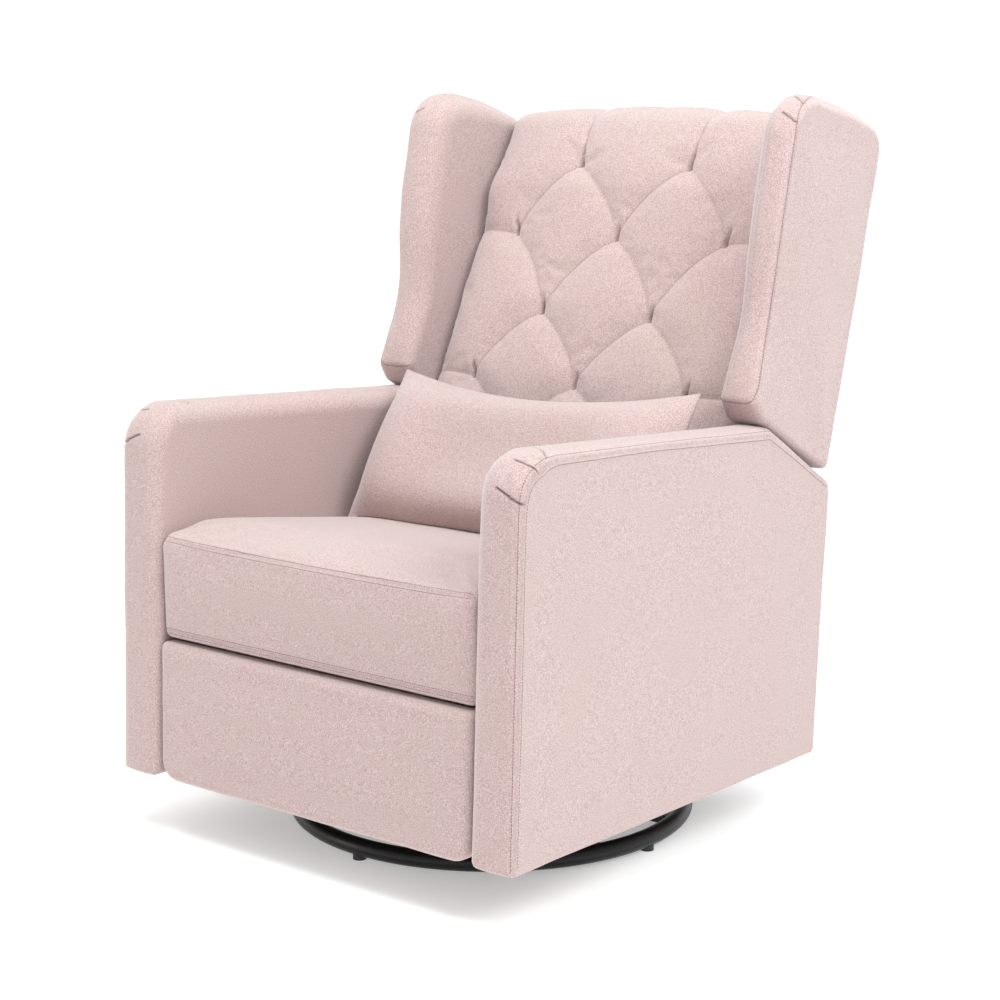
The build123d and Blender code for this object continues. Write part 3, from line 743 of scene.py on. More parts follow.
def pleats(slab, paths):
    """How far short folds at a corner push the skin, and how much shade is painted into them."""
    depth, width = 3.4, 1.15
    amount = np.zeros(slab.w.shape)
    crease = np.zeros(slab.w.shape)
    for path in paths:
        dist, along, side = path_distance(slab.s, slab.reach, path)
        ends = smooth(along, -0.02, 0.04) * smooth(1 - along, 0.0, 0.12)
        amount -= depth * ends * bell(dist, width)
        amount += 0.9 * ends * np.exp(-dist / 6) * (0.5 - 0.5 * side)
        # Painted shade along each fold.
        crease = np.maximum(crease, 1.5 * ends * bell(dist, width))
    return amount, crease


# ---------------------------------------------------------------- camera, floor and light
def aimed(obj, target):
    """Turns a camera or a light to look at a point."""
    way = Vector(target) - obj.location
    obj.rotation_euler = way.to_track_quat("-Z", "Y").to_euler()


camera_data = bpy.data.cameras.new("camera")
camera_data.lens = 80.74
camera_data.sensor_width = 36.0
camera_data.clip_end = 200
camera = bpy.data.objects.new("camera", camera_data)
bpy.context.scene.collection.objects.link(camera)
camera.location = (2.1133, -2.5510, 1.0962)
aimed(camera, (-0.022, 0.020, 0.471))
bpy.context.scene.camera = camera

FLOOR_HALF = 40000
floor_corners = [(x * FLOOR_HALF, y * FLOOR_HALF, 0) for x, y in ((-1, -1), (1, -1), (1, 1), (-1, 1))]
floor = make_mesh("floor", floor_corners, [(0, 1, 2, 3)])
floor_nodes = Nodes("pale_floor")
floor_grain = floor_nodes.noise(3, 2, 0.5)
floor.data.materials.append(
    floor_nodes.finish(
        floor_nodes.ramp(floor_grain, [(0.3, (0.79, 0.79, 0.795)), (0.7, (0.81, 0.81, 0.815))]),
        floor_nodes.range(floor_grain, 0.3, 0.7, 0.85, 0.95), specular_ior_level=0.1, emission_strength=0.36,
    )
)

world = bpy.data.worlds.new("studio")
bpy.context.scene.world = world
world.use_nodes = True
backdrop = world.node_tree.nodes["Background"]
backdrop.inputs["Color"].default_value = (1, 1, 1, 1)
world_nodes, world_links = world.node_tree.nodes, world.node_tree.links
world_way = world_nodes.new("ShaderNodeSeparateXYZ")
world_links.new(world_nodes.new("ShaderNodeTexCoord").outputs["Generated"], world_way.inputs[0])


def world_range(source, low, high, dim, bright):
    """A value held between two levels as its source goes from low to high."""
    node = world_nodes.new("ShaderNodeMapRange")
    for key, value in (("From Min", low), ("From Max", high), ("To Min", dim), ("To Max", bright)):
        node.inputs[key].default_value = value
    world_links.new(source, node.inputs["Value"])
    return node.outputs["Result"]


# A bright wall behind the chair and a bright ceiling; the rest of the room is dimmer.
ROOM_DIM, ROOM_BRIGHT = 0.68, 1.03
brightest = world_nodes.new("ShaderNodeMath")
brightest.operation = "MAXIMUM"
world_links.new(world_range(world_way.outputs["Y"], 0.1, 0.6, 0, 1), brightest.inputs[0])
world_links.new(world_range(world_way.outputs["Z"], 0.25, 0.85, 0, 1), brightest.inputs[1])
room_light = world_range(brightest.outputs[0], 0, 1, ROOM_DIM, ROOM_BRIGHT)
world_links.new(room_light, backdrop.inputs["Strength"])


def area_light(name, place, target, size, power, colour):
    """A round soft light."""
    data = bpy.data.lights.new(name, "AREA")
    data.shape = "DISK"
    data.size = size
    data.energy = power
    data.color = colour
    light = bpy.data.objects.new(name, data)
    bpy.context.scene.collection.objects.link(light)
    light.location = place
    aimed(light, target)


area_light("key", (3.3, -0.6, 3.3), (0, 0, 0.6), 2.2, 98, (0.90, 1.0, 0.99))
area_light("top", (0.5, -1.0, 4.1), (0, 0, 0.4), 2.2, 120, (0.92, 1.0, 0.99))
area_light("low", (-2.4, -2.6, 0.5), (0, 0, 0.3), 1.2, 10, (1.0, 0.84, 0.72))
view = bpy.context.scene.view_settings
view.view_transform = "Standard"
view.look = "None"
view.exposure = 0
view.gamma = 1

# ---------------------------------------------------------------- arms
OUTER_HALF = 340          # beyond this, a point belongs to an arm's or a wing's outer face
ARM_IN, ARM_OUT = 300.0, 375.0
ARM_LOOP = Loop(
    [(-436, 88, 8, 14), (-417, 636, 58, 8), (156, 603, 34, 8), (318, 501, 16, 9), (292, 88, 8, 14)], 1.3
)
ARM_SEAM = ARM_LOOP.along(
    [(0.05, 9), (0.85, 9), (0.90, 9), (0.945, 11), (0.969, 14), (1.025, 21), (1.05, 16), (1.08, 12),
     (1.45, 8.5), (1.93, 11), (2.07, 11), (2.5, 7), (2.95, 5), (3.1, 4), (4.0, 4), (4.5, 3), (4.95, 3)]
)
ARM_SEAM_ACROSS = ARM_LOOP.along(
    [(0.05, 16), (0.85, 16), (0.93, 16), (1.0, 18), (1.05, 17), (1.5, 15), (2.0, 14), (2.5, 12),
     (3.0, 7), (3.5, 5), (4.5, 4), (4.95, 4.5)]
)
ARM_SOFT = ARM_LOOP.along(
    [(0.03, 16), (0.2, 18), (0.8, 19), (0.96, 24), (1.1, 28), (1.9, 28), (2.5, 25), (2.95, 18), (3.2, 12),
     (4.0, 12), (4.5, 9), (4.95, 15)]
)
ARM_PLEATS = [
    bezier(*on_edge(ARM_LOOP, spots)) for spots in (
        [(-362, 632, 371), (-357, 632, 358), (-346, 632, 342), (-332, 631, 318)],
        [(-390, 625, 374.8), (-394, 622, 368), (-394, 622, 356), (-390, 625, 342)],
        [(-418.8, 574, 374.5), (-418.5, 580, 362), (-417.5, 588, 350), (-416, 593, 332)],
    )
]


def side_cover(kind, name, side, p, crease, rows, body):
    """Finishes the padding and the stitching of an arm or a wing, which were drawn on the chair's left."""
    if side < 0:
        p = mirrored(p)
        rows = [(mirrored(a), mirrored(b)) for a, b in rows]
    cover(ring_object(f"{kind}_{name}_cover", p, crease), body, f"{kind}_pad_{name}")
    stitching(f"{kind}_{name}_stitching", rows, body)


def arm(name, side):
    """A slim box arm: flat inside, crowned on top, with a double-stitched edge outside."""
    slab = Slab(ARM_LOOP, ARM_IN, ARM_OUT, (ARM_SOFT, ARM_SOFT), (ARM_SEAM, ARM_SEAM_ACROSS),
                np.linspace(0, 1, 16)[1:-1], round_steps=9)
    p = np.stack([slab.w, slab.uv[..., 0], slab.uv[..., 1]], 2)
    normals = ring_normals(p)
    fold, dark = pleats(slab, ARM_PLEATS)
    across = (slab.w - ARM_IN) / (ARM_OUT - ARM_IN)
    top = ARM_LOOP.along([(0.0, 0), (0.9, 0.4), (1.05, 1), (2.9, 1), (3.05, 0.2), (4.9, 0)])
    crown = (1.4 + 1.2 * top) * np.sin(np.clip(across, 0, 1) * math.pi) * (slab.d < 1)
    face = slab.face_share() * np.where(slab.w > OUTER_HALF, 2.2, 0.0)
    uneven = 0.7 * ripple(p, 170, 11 if side > 0 else 12) * smooth(slab.w, 301, 330)
    edge = slab.reach - ARM_OUT
    sewn = ARM_LOOP.along([(0.0, 1), (3.0, 1), (3.06, 0), (4.94, 0)])
    groove = -0.7 * bell(edge, 1.8) * sewn
    ridge = 0.5 * (bell(edge, 1.8, 2.6) + bell(edge, 1.8, -2.6)) * sewn
    p = push(p, crown + face + uneven + groove + ridge + fold, normals)
    # Painted shade in the pleats and along the stitched edge's groove.
    crease = np.clip(dark + 0.16 * sewn * bell(edge, 1.4), 0, 1)
    skin = ring_normals(p)
    sewn_s = np.sort(ARM_LOOP.s[(ARM_LOOP.q > 0.02) & (ARM_LOOP.q < 3.0)])[::3]
    rows = []
    for offset in (-4.0, 4.0):
        line = np.stack([sewn_s, np.full(len(sewn_s), ARM_OUT + offset)], 1)
        rows.append(on_skin(p, skin, ARM_LOOP.s, slab.reach, line, ARM_LOOP.length))
    side_cover("arm", name, side, p, crease, rows, "seat")


arm("left", 1)
arm("right", -1)

# ---------------------------------------------------------------- wings
WING_LOOP = Loop(
    [(139, 614, 16, 8), (121, 642, 16, 7), (216, 1084, 60, 7), (441, 1019, 38, 9), (315, 518, 10, 10)], 1.4
)
WING_SOFT = WING_LOOP.along(
    [(0.0, 14), (0.8, 14), (1.05, 15), (1.3, 32), (1.95, 36), (2.05, 34), (2.6, 28), (3.0, 20), (3.5, 10),
     (4.0, 9), (4.95, 14)]
)
WING_SEAM = WING_LOOP.along(
    [(0.0, 10), (0.95, 8), (1.5, 8), (1.9, 8), (2.02, 12), (2.1, 15), (2.9, 14), (3.5, 12), (3.95, 10),
     (4.2, 9)]
)
WING_SEAM_ACROSS = WING_LOOP.along(
    [(0.0, 14), (0.95, 14), (1.9, 14), (2.02, 16), (2.1, 20), (2.9, 18), (3.5, 14), (3.95, 12), (4.2, 12)]
)
WING_IN, WING_OUT = 299.5, 370.0
# The single seam: across the front's lower hem, up the outer front edge, over the crest and down the rear.
WING_LINE = on_edge(WING_LOOP, [
    (121, 640, 300.0), (121, 640, 330.0), (121, 640, 352.0), (122, 645, 362.0), (126, 663, 367.5),
    (147, 760, 369.2), (187, 949, 369.2), (203, 1022, 369.0), (209, 1042, 367.5), (222, 1058, 364),
    (240, 1067, 361), (262, 1069, 357), (300, 1060, 353), (400, 1031, 351), (432, 1008, 351),
    (425, 950, 352), (330, 580, 354),
])
WING_PLEATS = [
    bezier(*on_edge(WING_LOOP, spots)) for spots in (
        [(236, 1065, 361), (240, 1066, 352), (248, 1067, 343), (256, 1069, 330)],
        [(208, 1041, 367), (209, 1043, 360), (212, 1047, 352), (215, 1051, 340)],
    )
]


def wing(name, side):
    """A wing: its front edge curls in at the waist, its crest rises to the rear."""
    slab = Slab(WING_LOOP, WING_IN, WING_OUT, (WING_SOFT, WING_SOFT), (WING_SEAM, WING_SEAM_ACROSS),
                np.linspace(0, 1, 14)[1:-1], round_steps=10, caps=np.array([2.0, 4.5, 8.0]))
    y, z = slab.uv[..., 0], slab.uv[..., 1]
    lean_in = 3 * smooth(z, 660, 1040) * smooth(360 - slab.w, 0, 60)
    lean_out = 5 * smooth(y, 260, 420) * smooth(slab.w, 320, 370)
    dip = bell(z, 95, 765)
    ahead = 1 - smooth(y, 140, 300)
    hollow = 13 * dip * ahead
    waist = 10 * dip * ahead * smooth(slab.w, 315, 370)
    behind = 8 * smooth(y, 250, 420) + 2 * smooth(y, 200, 300)
    arch = 7 * bell(y, 70, 340) * smooth(z - 1084 + 0.289 * (y - 216), -70, -5)
    p = np.stack([slab.w + lean_in + lean_out - waist, y + hollow + behind, z + arch], 2)
    normals = ring_normals(p)
    fold, dark = pleats(slab, WING_PLEATS)
    front = WING_LOOP.along([(0.0, 0), (0.95, 0.1), (1.1, 1), (2.0, 1), (2.9, 0.5), (3.1, 0.0), (4.9, 0)])
    across = (slab.w - WING_IN) / (WING_OUT - WING_IN)
    crown = 5.0 * front * np.sin(np.clip(across, 0, 1) * math.pi) * (slab.d < 1)
    face = slab.face_share() * np.where(slab.w > OUTER_HALF, 5.0, 0.0)
    uneven = 0.8 * ripple(p, 150, 21 if side > 0 else 22) * smooth(slab.w, 301, 325)
    seam_dist = path_distance(slab.s, slab.reach, WING_LINE)[0]
    groove = -0.9 * bell(seam_dist, 1.7)
    p = push(p, crown + face + uneven + groove + fold, normals)
    # Painted shade in the pleats and along the seam's groove.
    crease = np.clip(dark + 0.30 * bell(seam_dist, 1.3), 0, 1)
    skin = ring_normals(p)
    rows = [on_skin(p, skin, WING_LOOP.s, slab.reach, WING_LINE, WING_LOOP.length)]
    side_cover("wing", name, side, p, crease, rows, "back")


wing("left", 1)
wing("right", -1)

# ---------------------------------------------------------------- seat cushion
SEAT_LOOP = Loop(
    [(-417, 297, 12, 4.5), (-421, 449, 26, 4.5), (-350, 472, 64, 5), (82, 412, 18, 8), (82, 298, 8, 22)], 3.0
)
SEAT_HALF = 298.5


def seat_row(p, skin, s, w, seam, offset):
    """A row of stitches beside a seam, given as places along the outline, and the skin's normals there."""
    line, out = [], []
    for r in range(w.shape[0]):
        if abs(w[r].mean()) > SEAT_HALF - 6:
            continue
        goal = seam[r].mean() + offset
        k = int(np.argmin(np.abs(s[r] - goal)))
        k2 = k + 1 if s[r, k] < goal else k - 1
        t = (goal - s[r, k]) / (s[r, k2] - s[r, k])
        line.append(p[r, k] * (1 - t) + p[r, k2] * t)
        out.append(skin[r, k])
    return np.array(line), np.array(out)


def seat_cushion():
    """The box cushion, crowned on top, with a double-stitched seam along its front's top and bottom."""
    rim_in = SEAT_LOOP.along(
        [(0.0, 12), (0.5, 12), (0.95, 13), (1.4, 15), (2.5, 18), (3.0, 16), (3.5, 6), (4.5, 7)]
    )
    rim_across = SEAT_LOOP.along(
        [(0.0, 14), (0.5, 15), (0.95, 18), (1.4, 24), (2.5, 30), (3.0, 24), (3.5, 8), (4.5, 8)]
    )
    slab = Slab(SEAT_LOOP, -SEAT_HALF, SEAT_HALF, (rim_in, rim_across), (rim_in, rim_across),
                np.linspace(0, 1, 116)[1:-1], round_steps=14, caps=np.array([3.0, 8.0]))
    w, s, p = slab.outer_rings()
    top = SEAT_LOOP.along([(0.9, 0), (1.6, 0.7), (2.1, 1), (2.7, 1), (3.1, 0.3), (3.3, 0), (4.9, 0)])
    share = 1 - np.abs(w / SEAT_HALF) ** 2.4
    p[..., 2] += (1.5 * share - 7) * top
    front = SEAT_LOOP.along([(0.0, 0), (0.12, 0.4), (0.5, 1), (0.88, 0.4), (1.0, 0), (4.9, 0)])
    p[..., 1] -= 2.0 * front * share
    seam_z = 443 + 4 * np.abs(w / SEAT_HALF) ** 4
    rising = (SEAT_LOOP.q > 0.06) & (SEAT_LOOP.q < 1.2)
    s_seam = np.interp(seam_z, SEAT_LOOP.base[rising, 1], SEAT_LOOP.s[rising])
    s_low = s_at(SEAT_LOOP, -417.5, 309)
    upper = s - s_seam
    lower = s - s_low
    bottom = SEAT_LOOP.along([(0.0, 1), (0.04, 0.4), (0.1, 0), (3.0, 0), (3.1, 0.6), (3.5, 1), (4.9, 1)])
    pinned = np.maximum(np.abs(w) > SEAT_HALF - 1, bottom)
    pinned = np.maximum(pinned, 0.8 * (np.abs(upper) < 4))
    pinned = np.maximum(pinned, 0.8 * (np.abs(lower) < 4))
    p = inflate_grid(p, pinned, 2.6, 18, 6)
    normals = ring_normals(p)
    ends = smooth(SEAT_HALF - np.abs(w), 0, 6)
    groove = -1.2 * bell(upper, 2.4) - 1.0 * bell(lower, 2.4)
    puff = 0.5 * bell(upper, 3.2, 6) + 0.5 * bell(upper, 3.2, -6)
    pucker = 0.25 * np.sin(w / 4.6 + 2 * ripple(p, 60, 31)) * bell(np.abs(upper), 9, 8)
    uneven = 1.2 * ripple(p, 190, 32) * top
    p = push(p, (groove + puff + pucker + uneven) * ends, normals)
    # Painted shade along the two sewn seams' grooves.
    crease = np.clip(0.26 * bell(upper, 1.8) + 0.22 * bell(lower, 1.8), 0, 1)
    skin = ring_normals(p)
    rows = [
        seat_row(p, skin, s, w, seam, offset)
        for seam in (s_seam, s_low + 0 * s_seam) for offset in (4.0, -4.0)
    ]
    obj = grid_object("seat_cushion_cover", p, crease)
    cover(obj, "seat", "seat_cushion", "cushion_cover")
    stitching("seat_cushion_stitching", rows, "seat")


seat_cushion()

# ---------------------------------------------------------------- back cushion
BACK_LOOP = Loop(
    [(99, 340, 12, 8), (96, 432, 160, 4.2), (387, 1036, 27, 3), (431, 1028, 13, 4), (433, 1004, 3, 8),
     (409, 1001, 3, 22), (292, 540, 30, 14), (168, 470, 20, 14), (164, 340, 8, 12)], 2.6
)
BACK_HALF = 298.0
TOP_TUFTS = [(-105, 959), (105, 959)]
TUFTS = TOP_TUFTS + [
    (-203, 853), (0, 853), (203, 853),
    (-105, 737), (105, 737),
    (-206, 631), (0, 631), (206, 631),
    (-105, 525), (105, 525),
]


def face_s(z):
    """How far along the back cushion's outline the front face reaches a height."""
    front = (BACK_LOOP.q > 0.02) & (BACK_LOOP.q < 1.98)
    return np.interp(z, BACK_LOOP.base[front, 1], BACK_LOOP.s[front])


def diamond_seams():
    """The sewn lines between tufts and out to the sides, as paths of (s, x)."""
    curves = []
    for x, z in TUFTS:
        for x2, z2 in TUFTS:
            dx, dz = x2 - x, z2 - z
            if 60 < abs(dx) < 150 and 60 < -dz < 150:
                bends = (x + 0.36 * dx, z + 0.16 * dz), (x2 - 0.12 * dx, z2 - 0.42 * dz)
                curves.append(bezier((x, z), *bends, (x2, z2)))
    for x, z in TUFTS:
        if abs(x) > 180:
            out = math.copysign(1, x)
            curves.append(bezier((x, z), (x + 25 * out, z + 5), (x + 60 * out, z + 4), (out * 300, z - 3)))
    return [np.stack([face_s(c[:, 1]), c[:, 0]], 1) for c in curves]


def tuft_creases():
    """The short deep folds above the tufts, as paths of (s, x), and the long ones up to the top edge."""
    short, long = [], []
    for x, z in TUFTS:
        lean = 0.03 * x
        c = bezier((x, z), (x + 1, z + 9), (x + lean, z + 20), (x + lean, z + 30))
        short.append(np.stack([face_s(c[:, 1]), c[:, 0]], 1))
    for x, z in TOP_TUFTS:
        along = face_s(z), face_s(z) + 30, face_s(1000), face_s(1020) + 34
        long.append(bezier(*zip(along, (x, x + 0.02 * x, x + 0.05 * x, x + 0.10 * x))))
    return short, long


def back_cushion():
    """The diamond-tufted back: crowned, pulled in at each tuft, and blown up between its sewn lines."""
    rim_in = BACK_LOOP.along([(0.0, 6), (0.5, 12), (1.5, 17), (1.95, 18), (2.5, 14), (3.0, 8), (4.0, 3),
                              (4.5, 2), (5.5, 3), (8.5, 4)])
    rim_across = BACK_LOOP.along([(0.0, 10), (0.5, 16), (1.5, 22), (1.95, 26), (2.5, 22), (3.0, 14),
                                  (4.0, 8), (5.5, 5), (8.5, 8)])
    slab = Slab(BACK_LOOP, -BACK_HALF, BACK_HALF, (rim_in, rim_across), (rim_in, rim_across),
                np.linspace(0, 1, 150)[1:-1], round_steps=8, caps=np.array([1.5]))
    w, s, p = slab.outer_rings()
    height = p[..., 2].copy()
    front = BACK_LOOP.along([(0.0, 0.2), (0.6, 0.5), (1.1, 1), (1.8, 1), (2.0, 0.5), (2.2, 0.1), (3.0, 0),
                             (8.9, 0)])
    top = BACK_LOOP.along([(1.7, 0), (1.95, 0.6), (2.1, 1), (2.9, 1), (3.3, 0.0), (8.9, 0)])
    across = 1 - np.abs(w / BACK_HALF) ** 2.2
    flat = 1 - np.abs(w / BACK_HALF) ** 5
    p[..., 1] -= (23 + 9 * smooth(height, 850, 960)) * front * flat
    beside = smooth(np.abs(w), 215, 290) * front
    p[..., 1] -= (13 * bell(height, 42, 925) + 3 * bell(height, 60, 760)) * beside
    p[..., 1] += 3 * bell(height, 14, 853) * beside
    p[..., 2] += 17 * top * across
    seams = diamond_seams()
    short, long = tuft_creases()
    seam_d = np.full(w.shape, FAR)
    for path in seams:
        seam_d = np.minimum(seam_d, path_distance(s, w, path)[0])
    long_d = np.full(w.shape, FAR)
    long_t = np.zeros(w.shape)
    for path in long:
        d, t, _ = path_distance(s, w, path)
        long_t = np.where(d < long_d, t, long_t)
        long_d = np.minimum(long_d, d)
    tuft_d = np.full(w.shape, FAR)
    for x, z in TUFTS:
        tuft_d = np.minimum(tuft_d, np.hypot(w - x, s - face_s(z)))
    rim = smooth(BACK_HALF - np.abs(w), 0, 30)
    region = BACK_LOOP.along([(0.0, 0), (0.9, 0.0), (1.05, 1), (2.2, 1), (2.9, 0.3), (3.1, 0), (8.9, 0)])
    valley = np.minimum(seam_d, long_d * (1 + 0.6 * long_t))
    hills = 6.0 * (1 - np.exp(-valley / 30))
    pits = -5.0 * bell(tuft_d, 18) - 3.0 * bell(tuft_d, 7)
    p = push(p, (hills * rim + pits) * region)
    rear = BACK_LOOP.along([(0.0, 1), (0.6, 0.6), (1.0, 0.2), (1.2, 0), (2.6, 0), (3.0, 0.6), (3.5, 1),
                            (8.9, 1)])
    pinned = np.maximum(np.abs(w) > BACK_HALF - 1.5, rear)
    pinned = np.maximum(pinned, tuft_d < 7)
    pinned = np.maximum(pinned, 0.7 * (seam_d < 4) * region)
    p = inflate_grid(p, pinned, 2.0, 16, 5, shrink=-0.006)
    normals = ring_normals(p)
    amount = -1.1 * bell(seam_d, 2.2)
    # Painted shade along the diamond seams, in the folds above the tufts, in the long folds up to the top
    # edge and in the tuft pits.
    crease = 0.26 * bell(seam_d, 1.7)
    for path in short:
        d, t, _ = path_distance(s, w, path)
        ends = 1 - smooth(t, 0.35, 1.0)
        amount -= 6.5 * ends * bell(d, 2.6)
        amount += 2.2 * ends * bell(d, 5, 7)
        crease = np.maximum(crease, 0.95 * ends * bell(d, 1.9))
    fade = 1 - smooth(long_t, 0.1, 1.0)
    amount -= (1.2 + 2.2 * fade) * bell(long_d, 3.0)
    crease = np.maximum(crease, (0.16 + 0.4 * fade) * bell(long_d, 1.8))
    amount -= 3.0 * bell(tuft_d, 3.2)
    crease = np.maximum(crease, 0.8 * bell(tuft_d, 3.0))
    amount += 0.9 * ripple(p, 120, 41)
    p = push(p, amount * region, normals)
    obj = grid_object("back_cushion_cover", p, np.clip(crease * region, 0, 1))
    cover(obj, "back", "back_cushion", "cushion_cover")
    skin = ring_normals(p)
    rows = []
    for path in seams:
        inside = path[np.abs(path[:, 1]) < BACK_HALF - 12]
        if len(inside) > 2:
            rows.append(on_skin(p, skin, BACK_LOOP.s, w, inside, BACK_LOOP.length))
    stitching("back_cushion_stitching", rows, "back", pitch=4.6, length=2.5, radius=0.28, lift=-0.05)


back_cushion()


# ---------------------------------------------------------------- flat padded panels
def panel(name, loop, depth, place, rim, bulge, body, node, seed):
    """A padded board: place maps (across, up, depth) to a point."""
    slab = Slab(loop, 0.0, depth, (2, 2), rim, np.linspace(0, 1, 4)[1:-1])
    outer = slab.w > depth / 2
    p = place(slab.uv[..., 0], slab.uv[..., 1], slab.w + slab.face_share() * np.where(outer, bulge, 0))
    p = push(p, 0.6 * ripple(p, 160, seed) * outer)
    cover(ring_object(name, p, np.zeros(slab.w.shape)), body, node)


def board_outline(half, low, high, low_radius, high_radius, step, arc_step):
    """An upright rounded rectangle."""
    corners = [(-half, low), (half, low), (half, high), (-half, high)]
    radii = [low_radius, low_radius, high_radius, high_radius]
    return Loop([(x, z, r, step) for (x, z), r in zip(corners, radii)], arc_step)


def footrest_place(x, z, depth):
    """The leg rest's front, which is thicker below than above."""
    thick = 33.5 - 9.0 * (z - 85) / 207
    return np.stack([x, -400.3 - depth / 30 * thick, z], 2)


def rear_place(x, z, depth):
    """The seat box's upright rear."""
    return np.stack([x, 271 + depth, z], 2)


def outer_place(x, z, depth):
    """The back's raked rear."""
    return np.stack([x, 315.0 + 0.25 * (z - 518.0) - 5 + depth, z], 2)


panel("footrest_cover", board_outline(298.5, 85, 292, 34, 9, 14, 2.5), 30.0, footrest_place, (13, 14), 2.5,
      "footrest", "footrest_pad", 51)
panel("rear_panel_cover", board_outline(298.3, 89, 291.5, 6, 6, 16, 3.0), 18.0, rear_place, (5, 6), 3.0,
      "seat", "rear_panel", 52)
panel("outer_back_cover", board_outline(298, 341, 1003, 6, 12, 16, 3.0), 5.5, outer_place, (4, 4), 2.5,
      "back", "back_panel", 53)


def gusset():
    """The soft strip of cloth behind the hinge, from the box's rear panel up to the outer back."""
    xs = np.linspace(-290, 290, 60)
    ts = np.linspace(0, 1, 14)
    n, m = len(xs), len(ts)
    verts, faces = [], []
    for layer, thick in enumerate((0.0, 1.2)):
        for t in ts:
            y = 283 + (271.5 - 283) * t - 3.5 * math.sin(math.pi * t) - thick
            z = 286 + (352 - 286) * t
            verts += [(x, y + 0.8 * math.sin(x / 23 + 5 * t), z) for x in xs]
        for j in range(m - 1):
            start = (layer * m + j) * n
            faces += [(a, a + 1, a + n + 1, a + n) for a in range(start, start + n - 1)]
    rim = list(range(n)) + [j * n + n - 1 for j in range(1, m)]
    rim += [(m - 1) * n + k for k in range(n - 2, -1, -1)] + [j * n for j in range(m - 2, 0, -1)]
    faces += [(a, b, b + n * m, a + n * m) for a, b in zip(rim, rim[1:] + rim[:1])]
    obj = make_mesh("rear_gusset", verts, faces, np.zeros(len(verts)))
    obj.data.materials.append(CLOTH)
    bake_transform(obj)


gusset()


# ---------------------------------------------------------------- lumbar pillow
PILLOW_WIDE, PILLOW_HIGH, PILLOW_HALF_THICK = 572.0, 276.0, 51.0
PILLOW_CENTRE = np.array([3.0, 29, 535])
PILLOW_LEAN, PILLOW_ROLL = math.radians(34), math.radians(1.2)
PILLOW_CELLS = 84, 44
DIP_ABOVE, DIP_BELOW, DIP_BESIDE = 38, 11, 3     # how far each edge pulls in between its corners


def settle(grid, passes):
    """Evens out a sheet of points and leaves its border alone."""
    for _ in range(passes):
        grid[1:-1, 1:-1] = (grid[:-2, 1:-1] + grid[2:, 1:-1] + grid[1:-1, :-2] + grid[1:-1, 2:]) / 4
    return grid


def stretch_to(grid, rim):
    """Carries a sheet's border onto another one, and the inside with it."""
    off = rim - grid
    rows, cols = grid.shape[:2]
    t = np.linspace(0, 1, rows)[:, None, None]
    s = np.linspace(0, 1, cols)[None, :, None]
    across = (1 - s) * off[:, :1] + s * off[:, -1:]
    along = (1 - t) * off[:1] + t * off[-1:]
    corners = ((1 - t) * ((1 - s) * off[0, 0] + s * off[0, -1])
               + t * ((1 - s) * off[-1, 0] + s * off[-1, -1]))
    return grid + across + along - corners


def press(obj, neighbour, way):
    """Flattens a soft piece where it would run into its neighbour, which lies in the given direction."""
    gap = 0.8
    tree = BVHTree.FromObject(bpy.data.objects[neighbour], bpy.context.evaluated_depsgraph_get())
    way = Vector(way)
    for vertex in obj.data.vertices:
        hit = tree.ray_cast(vertex.co - way, way)[0]
        if hit is not None:
            over = 1 + gap * MM - (hit - vertex.co + way).dot(way)
            if over > 0:
                vertex.co -= way * over
    obj.data.update()


def apply_modifiers(obj):
    """Keeps the mesh as its modifiers leave it."""
    old = obj.data
    mesh = bpy.data.meshes.new_from_object(obj.evaluated_get(bpy.context.evaluated_depsgraph_get()))
    obj.modifiers.clear()
    obj.data = mesh
    bpy.data.meshes.remove(old)
    mesh.name = obj.name


def pillow_form():
    """Two domed panels that share their rim: points, quads, and the numbers of each panel's points."""
    nx, ny = PILLOW_CELLS
    front = np.arange((nx + 1) * (ny + 1)).reshape(ny + 1, nx + 1)
    rear = front.copy()
    rear[1:-1, 1:-1] = front.size + np.arange((nx - 1) * (ny - 1)).reshape(ny - 1, nx - 1)
    verts, faces = [], []
    for ids, layer in ((front.tolist(), 1), (rear.tolist(), -1)):
        for j in range(ny + 1):
            for i in range(nx + 1):
                if ids[j][i] == len(verts):
                    u, v = 2 * i / nx - 1, 2 * j / ny - 1
                    dome = (1 - abs(u) ** 2.6) * (1 - abs(v) ** 2.2)
                    verts.append((u * PILLOW_WIDE / 2, v * PILLOW_HIGH / 2, layer * dome * 30))
        for low, high in zip(ids, ids[1:]):
            for i in range(nx):
                faces.append((low[i], low[i + 1], high[i + 1], high[i])[::layer])
    return verts, faces, (front, rear)


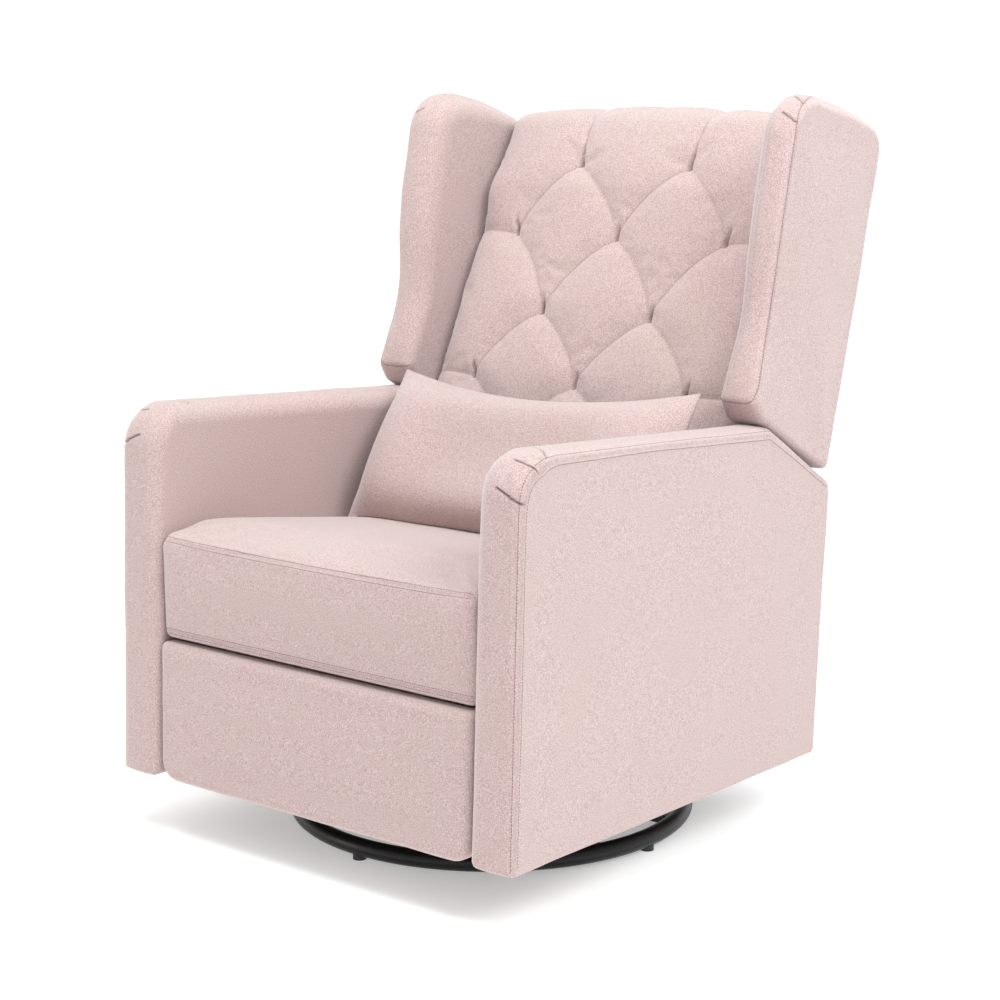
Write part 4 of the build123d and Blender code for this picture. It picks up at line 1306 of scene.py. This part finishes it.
def pillow_rim():
    """Where each point of a panel would lie in a flat pillow whose edges pull in between the corners."""
    nx, ny = PILLOW_CELLS
    u = np.linspace(-1, 1, nx + 1)[None, :]
    v = np.linspace(-1, 1, ny + 1)[:, None]
    bow = 1 - u * u
    edge = np.where(v > 0, -DIP_ABOVE * bow * np.clip(v, 0, 1) ** 2, DIP_BELOW * bow * v * v)
    x = u * (PILLOW_WIDE / 2 - DIP_BESIDE * (1 - v * v)) + 0 * v
    return np.stack([x, v * PILLOW_HIGH / 2 + edge, 0 * u * v], -1)


def pillow():
    """A knife-edged lumbar cushion: two panels sewn at the rim, blown up, and set to its four corners."""
    verts, faces, panels = pillow_form()
    # Painted shade along the rim where the two panels are sewn.
    crease = np.zeros(len(verts))
    crease[np.intersect1d(*panels)] = 0.35
    obj = make_mesh("lumbar_pillow_cover", verts, faces, crease)
    inflate(obj, 4.0, 22, 60, 25.0, 0.5, 8, shrink=0.05)
    co = points_of(obj) / MM
    flat = np.zeros_like(co)
    for ids in panels:
        sheet = settle(stretch_to(co[ids], pillow_rim()), 36)
        sheet[..., 2] *= PILLOW_HALF_THICK / np.abs(sheet[..., 2]).max()
        flat[ids] = sheet
    up = np.array([0, math.sin(PILLOW_LEAN), math.cos(PILLOW_LEAN)])
    out = np.array([0, -math.cos(PILLOW_LEAN), math.sin(PILLOW_LEAN)])
    right = np.array([1.0, 0, 0])
    across = math.cos(PILLOW_ROLL) * right + math.sin(PILLOW_ROLL) * up
    along = math.cos(PILLOW_ROLL) * up - math.sin(PILLOW_ROLL) * right
    placed = PILLOW_CENTRE + flat[:, 0:1] * across + flat[:, 1:2] * along + flat[:, 2:3] * out
    move_points(obj, placed * MM)
    fine = obj.modifiers.new("fine", "SUBSURF")
    fine.levels = fine.render_levels = 1
    apply_modifiers(obj)
    for neighbour, way in (
        ("seat_cushion_cover", (0, 0, -1)), ("back_cushion_cover", (0, 1, 0)),
        ("arm_left_cover", (1, 0, 0)), ("arm_right_cover", (-1, 0, 0)),
    ):
        press(obj, neighbour, way)
    cover(obj, "pillow", "lumbar_pillow", "cushion_cover")


pillow()
